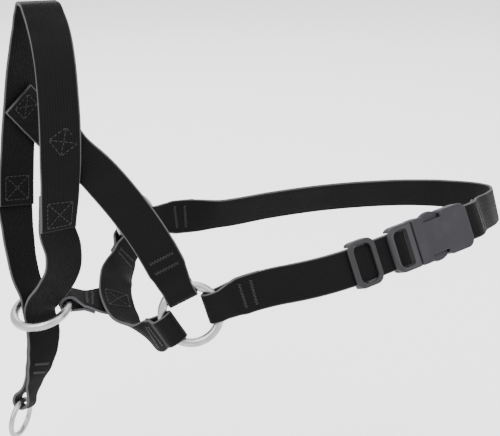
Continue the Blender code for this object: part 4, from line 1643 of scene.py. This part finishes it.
@dataclass
class Mouldings:
    """The slide adjuster and the two halves of the buckle, with soft moulded edges.

    Attributes:
        half_width: half of the width of every moulding.
        slot: half of the width of the webbing's slots.
        glide_half: half of the adjuster's length.
        glide_bar: the width of the bars at its two ends.
        glide_top: half of its height.
        glide_face: how far its channel reaches up and its middle bar reaches down to.
        insert_length: the length of the insert's frame.
        tongue_tip: where its guide tongue ends.
        socket_start: where the socket starts.
        socket_end: where the socket ends.
        socket_half_high: half of its height.
        mouth_end: where its mouth ends inside.
        mouth_half: half of the mouth's width.
        mouth_half_high: half of the mouth's height.
        pocket_start: where its webbing pocket starts.
        pocket_half_high: half of the pocket's height.
        opening: from where to where its sides are waisted for the release pads.
        opening_floor: how far from the middle the waisted sides lie.
        pad_start: where a release pad starts.
        pad_length: the length of a release pad.
        pad_root: how far from the middle a pad's ends lie.
        pad_bulge: how much further out its middle lies.
        ridge_count: the grip ridges on each pad.
    """

    half_width: float = 12.7
    slot: float = 10.35
    glide_half: float = 9.1
    glide_bar: float = 3.2
    glide_top: float = 3.45
    glide_face: float = 2.05
    insert_length: float = 17.0
    tongue_tip: float = 35.5
    socket_start: float = 17.4
    socket_end: float = 55.9
    socket_half_high: float = 4.5
    mouth_end: float = 42.2
    mouth_half: float = 11.0
    mouth_half_high: float = 2.4
    pocket_start: float = 45.0
    pocket_half_high: float = 3.6
    opening: tuple[float, float] = (25.2, 37.4)
    opening_floor: float = 9.0
    pad_start: float = 25.7
    pad_length: float = 11.2
    pad_root: float = 12.2
    pad_bulge: float = 1.6
    ridge_count: int = 6

    def rounded(self, item: bpy.types.Object, radius: float, steps: int,
                limit: float = 38.0) -> bpy.types.Object:
        """Rounds every edge sharper than a limit, and bakes the result.

        Args:
            item: the moulding.
            radius: the width of the rounding.
            steps: its facets.
            limit: the angle between faces past which an edge is rounded, in degrees.

        Returns:
            The same object.
        """
        rounding = item.modifiers.new("soft_edges", "BEVEL")
        rounding.width = radius * MM
        rounding.segments = steps
        rounding.limit_method = "ANGLE"
        rounding.angle_limit = math.radians(limit)
        return baked(item)

    def merged(self, item: bpy.types.Object) -> bpy.types.Object:
        """Joins doubled corners and drops edges inside flat faces.

        Args:
            item: the moulding.

        Returns:
            The same object.
        """
        shape = bmesh.new()
        shape.from_mesh(item.data)
        bmesh.ops.remove_doubles(shape, verts=shape.verts, dist=4e-6)
        bmesh.ops.dissolve_limit(shape, angle_limit=math.radians(1.0), verts=shape.verts,
                                 edges=shape.edges, use_dissolve_boundaries=False)
        shape.to_mesh(item.data)
        shape.free()
        return item

    def finished(self, item: bpy.types.Object, body: Body, node: str) -> bpy.types.Object:
        """Shades a moulding smooth between its edges and settles it.

        Args:
            item: the moulding.
            body: the body that it rides on.
            node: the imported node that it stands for.

        Returns:
            The same object.
        """
        item.data.shade_smooth()
        item.data.set_sharp_from_angle(angle=math.radians(40))
        return settle(item, body, Slot.MOULDING, node)

    def carved(self, node: str, body: Body, place: Matrix, base: Block, rim: float,
               blocks: Sequence[Block], finish: bpy.types.Material) -> bpy.types.Object:
        """A moulding carved from one block with a round rim.

        Args:
            node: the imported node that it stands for.
            body: the body that it rides on.
            place: where its frame lies.
            base: the block that it starts from.
            rim: the radius of its outer rim.
            blocks: what is cut away or added, in order.
            finish: its material.

        Returns:
            The piece.
        """
        item = self.rounded(object_from(f"{node}_moulding", *base.mesh_at(place), finish), rim, 5)
        tools = []
        for number, block in enumerate(blocks):
            tool = object_from(f"{node}_tool_{number}", *block.mesh_at(place), finish)
            carving = item.modifiers.new(f"carving_{number}", "BOOLEAN")
            carving.operation = "UNION" if block.adds else "DIFFERENCE"
            carving.solver = "EXACT"
            carving.object = tool
            tools.append(tool)
        baked(item)
        for tool in tools:
            bpy.data.objects.remove(tool, do_unlink=True)
        self.merged(item)
        return self.finished(self.rounded(item, 0.3, 3, 50.0), body, node)

    def glide(self, finish: bpy.types.Material) -> bpy.types.Object:
        """The adjuster: a rounded frame over the webbing and a bar under it.

        Args:
            finish: its material.

        Returns:
            The piece.
        """
        half, inner, slot = self.glide_half, self.glide_half - self.glide_bar, self.slot
        top, face = self.glide_top, self.glide_face
        far, beyond, bar = half + CUT_PAST, top + CUT_PAST, 1.5
        wide, horn = self.half_width + CUT_PAST, half - 2.6
        blocks = [
            # the window over the webbing, and the channel that the webbing lies in
            Block(rounded_outline(-inner, inner, slot - CUT_APART, 3.6, 3.6), face - 0.4, beyond),
            Block(square_outline(-far, far, slot), -beyond, face),
            # the two entries, cut across the whole width
            Block(square_outline(-far, -horn, wide), -beyond, face + ENTRY_RISE),
            Block(square_outline(horn, far, wide), -beyond, face + ENTRY_RISE),
            # the middle bar
            Block(square_outline(-bar, bar, slot + BAR_WELD), CUT_APART - top, -face, True),
        ]
        place = BUCKLE @ Matrix.Translation((GLIDE_X, 0, 0))
        base = Block(rounded_outline(-half, half, self.half_width, 5.2, 5.2), -top, top)
        return self.carved("tri_glide", Body.ADJUSTER, place, base, 1.0, blocks, finish)

    def insert(self, finish: bpy.types.Material) -> bpy.types.Object:
        """The insert: a rounded frame, a webbing bar, a shoulder and a guide tongue.

        Args:
            finish: its material.

        Returns:
            The piece.
        """
        slot, clear, past = self.slot, 2.0, 8.0
        wide = self.half_width + CUT_PAST
        blocks = [
            # the window over the bar, and the channel that the webbing lies in
            Block(rounded_outline(3.2, 12.9, slot - CUT_APART, 3.8, 1.8), clear - 0.3, past),
            Block(square_outline(-CUT_PAST, 13.0, slot), -past, clear),
            # the entry, cut across the whole width
            Block(square_outline(-CUT_PAST, 2.6, wide), -past, clear + ENTRY_RISE),
            # room over the webbing where it turns round the bar
            Block(square_outline(3.4, 11.5, slot - 0.05), clear - 0.5, clear + 0.9),
            # the bar, and the guide tongue
            Block(square_outline(INSERT_BAR_X - BAR_REACH, INSERT_BAR_X + BAR_REACH,
                                 slot + BAR_WELD), -BAR_HALF_HIGH, BAR_HALF_HIGH, True),
            Block(rounded_outline(self.insert_length - 1.0, self.tongue_tip, 3.4, 0.2, 2.4),
                  -1.7, 1.7, True),
        ]
        base = Block(rounded_outline(0.0, self.insert_length, self.half_width, 6.2, 1.2), -3.4, 4.1)
        return self.carved("buckle_insert", Body.STRAPS, BUCKLE, base, 1.0, blocks, finish)

    def socket_outline(self) -> list[tuple[float, float]]:
        """The case's outline, waisted where the release pads stand out.

        Returns:
            The corners, counter-clockwise.
        """
        start, end, wide = self.socket_start, self.socket_end, self.half_width
        (near, far), floor = self.opening, self.opening_floor
        corners = [(start, wide, 1.2), (near, wide, 1.6), (near, floor, 0.8), (far, floor, 0.8),
                   (far, wide, 2.6), (end, wide, 5.0)]
        upper: list[tuple[float, float]] = []
        turns = [(180, 90), (90, 0), (180, 270), (270, 360), (180, 90), (90, 0)]
        for (x, y, radius), (first, last) in zip(corners, turns):
            outward_x = -1 if first == 180 and last == 90 else 1
            if first in (180, 270) and last in (270, 360):
                centre = (x + radius if first == 180 else x - radius, y + radius)
            else:
                centre = (x - outward_x * radius, y - radius)
            for k in range(7):
                turn = math.radians(first + (last - first) * k / 6)
                upper.append((centre[0] + radius * math.cos(turn), centre[1] + radius * math.sin(turn)))
        lower = [(x, -y) for x, y in upper]
        return lower + list(reversed(upper))

    def socket(self, finish: bpy.types.Material) -> bpy.types.Object:
        """The socket: a flat case with a mouth, waisted sides and a webbing pocket.

        Args:
            finish: its material.

        Returns:
            The piece.
        """
        mouth, pocket = self.mouth_half_high, self.pocket_half_high
        blocks = [
            # the mouth that the arms and the tongue slide into
            Block(square_outline(self.socket_start - CUT_PAST, self.mouth_end, self.mouth_half),
                  -mouth, mouth),
            # the pocket that the webbing lies in, and the bar that it turns round
            Block(rounded_outline(self.pocket_start, self.socket_end + 3, self.slot, 0.8, 0.1),
                  -pocket, pocket),
            Block(square_outline(SOCKET_BAR_X - BAR_REACH, SOCKET_BAR_X + BAR_REACH, self.slot + 1),
                  -BAR_HALF_HIGH, BAR_HALF_HIGH, True),
        ]
        high = self.socket_half_high
        base = Block(self.socket_outline(), -high, high)
        return self.carved("buckle_socket", Body.BUCKLE_HALF, BUCKLE, base, 0.75, blocks, finish)

    def arm(self, node: str, body: Body, finish: bpy.types.Material) -> bpy.types.Object:
        """A release arm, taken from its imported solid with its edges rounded.

        Args:
            node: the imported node.
            body: the arm's body.
            finish: its material.

        Returns:
            The piece.
        """
        item = bpy.data.objects.new(f"{node}_moulding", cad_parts[node].data.copy())
        bpy.context.scene.collection.objects.link(item)
        item.data.materials.clear()
        item.data.materials.append(finish)
        return self.finished(self.rounded(self.merged(item), 0.4, 3), body, node)

    def grip_ridges(self, name: str, side: int, body: Body,
                    finish: bpy.types.Material) -> bpy.types.Object:
        """The ridges on a release arm's pad.

        Args:
            name: the piece's name.
            side: 1 for the upper arm and -1 for the lower.
            body: the arm's body.
            finish: its material.

        Returns:
            The piece.
        """
        row = LaidRow(name)
        turned = BUCKLE.to_3x3()
        for k in range(self.ridge_count):
            share = (k + 1.0) / (self.ridge_count + 1.0)
            x = self.pad_start + self.pad_length * share
            y = self.pad_root + self.pad_bulge * math.sin(math.pi * share)
            slope = self.pad_bulge * math.pi / self.pad_length * math.cos(math.pi * share)
            row.lay(BUCKLE @ Vector((x, side * y, 0)), turned.col[2].copy(),
                    turned @ Vector((-slope, side, 0)))
        item = row.build(3.0, 0.7, 0.5, finish)
        return settle(item, body, Slot.MOULDING)

    def build(self, grey: bpy.types.Material, socket_grey: bpy.types.Material) -> None:
        """Builds every moulding.

        Args:
            grey: the adjuster's and the insert's material.
            socket_grey: the socket's and the arms' material.
        """
        self.glide(grey)
        self.insert(grey)
        self.socket(socket_grey)
        self.arm("buckle_arm_upper", Body.UPPER_ARM, socket_grey)
        self.arm("buckle_arm_lower", Body.LOWER_ARM, socket_grey)
        self.grip_ridges("upper_pad_ridges", 1, Body.UPPER_ARM, socket_grey)
        self.grip_ridges("lower_pad_ridges", -1, Body.LOWER_ARM, socket_grey)


@dataclass
class Studio:
    """The pale floor, the soft lights and the camera."""

    look_at: tuple[float, float, float] = (0.1116, 0.0, -0.1229)
    azimuth: float = -22.0
    elevation: float = 18.0
    distance: float = 0.62
    lens: float = 80.0
    floor_height: float = -0.30
    floor_reach: float = 6.0
    air_light: float = 1.9

    def out_from(self, azimuth: float, elevation: float, distance: float) -> Vector:
        """A place seen from the object at an azimuth and an elevation.

        Args:
            azimuth: its direction round the object, in degrees.
            elevation: its height, in degrees.
            distance: how far off it lies.

        Returns:
            The place.
        """
        turn, rise = math.radians(azimuth), math.radians(elevation)
        away = Vector((math.sin(turn) * math.cos(rise), -math.cos(turn) * math.cos(rise),
                       math.sin(rise)))
        return Vector(self.look_at) + away * distance

    def aim(self, item: bpy.types.Object, azimuth: float, elevation: float, distance: float) -> None:
        """Adds an object to the scene, facing the halter.

        Args:
            item: the object.
            azimuth: its direction round the halter, in degrees.
            elevation: its height, in degrees.
            distance: how far off it stands.
        """
        item.location = self.out_from(azimuth, elevation, distance)
        item.rotation_euler = (Vector(self.look_at) - item.location).to_track_quat("-Z", "Y").to_euler()
        bpy.context.scene.collection.objects.link(item)

    def light(self, name: str, azimuth: float, elevation: float, distance: float, size: float,
              power: float) -> None:
        """Adds a square area light that faces the object.

        Args:
            name: its name.
            azimuth: its direction round the object.
            elevation: its height, in degrees.
            distance: how far off it stands.
            size: the length of its side.
            power: its power in watts.
        """
        lamp = bpy.data.lights.new(name, "AREA")
        lamp.energy, lamp.size = power, size
        item = bpy.data.objects.new(name, lamp)
        self.aim(item, azimuth, elevation, distance)

    def build(self) -> None:
        """Builds the floor, the lights and the camera."""
        reach = self.floor_reach
        floor = object_from("floor", [Vector((x * reach, y * reach, 0)) / MM
                                      + Z * self.floor_height / MM
                                      for x, y in ((-1, -1), (1, -1), (1, 1), (-1, 1))],
                            [(0, 1, 2, 3)], StudioPaper().material())
        world = bpy.data.worlds.new("studio_air")
        world.use_nodes = True
        world.node_tree.nodes["Background"].inputs["Color"].default_value = (1, 1, 1, 1)
        world.node_tree.nodes["Background"].inputs["Strength"].default_value = self.air_light
        bpy.context.scene.world = world
        for light in (("key", -60.0, 42.0, 1.6, 1.4, 32.0), ("fill", 38.0, 28.0, 1.9, 1.6, 17.0),
                      ("top", -10.0, 80.0, 1.7, 1.8, 24.0), ("rim", 165.0, 40.0, 1.8, 1.2, 16.0)):
            self.light(*light)
        lens = bpy.data.cameras.new("camera")
        lens.lens, lens.sensor_width, lens.sensor_fit = self.lens, 36.0, "HORIZONTAL"
        lens.clip_start, lens.clip_end = 0.01, 50.0
        item = bpy.data.objects.new("camera", lens)
        self.aim(item, self.azimuth, self.elevation, self.distance)
        bpy.context.scene.camera = item


def main() -> None:
    """Builds the halter and its studio, in order."""
    logging.basicConfig(level=logging.INFO, format="%(name)s: %(message)s")
    webbing = WovenNylon().material()
    thread = BondedThread().material()
    steel = PlatedSteel().material()
    grey = MouldedAcetal("grey_acetal").material()
    socket_grey = MouldedAcetal("blue_grey_acetal", (0.0130, 0.0125, 0.0152, 1.0),
                                (0.0245, 0.0238, 0.0285, 1.0)).material()
    nose_loop = NoseLoop()
    nose = nose_loop.band()
    nose_loop.build(nose, webbing, thread, steel)
    cheeks = CheekFrame()
    cheeks.build(nose, webbing, thread, steel)
    NeckBand(cheeks.left, cheeks.right).build(webbing, thread)
    Mouldings().build(grey, socket_grey)
    Studio().build()
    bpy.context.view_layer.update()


if __name__ == "__main__":
    main()
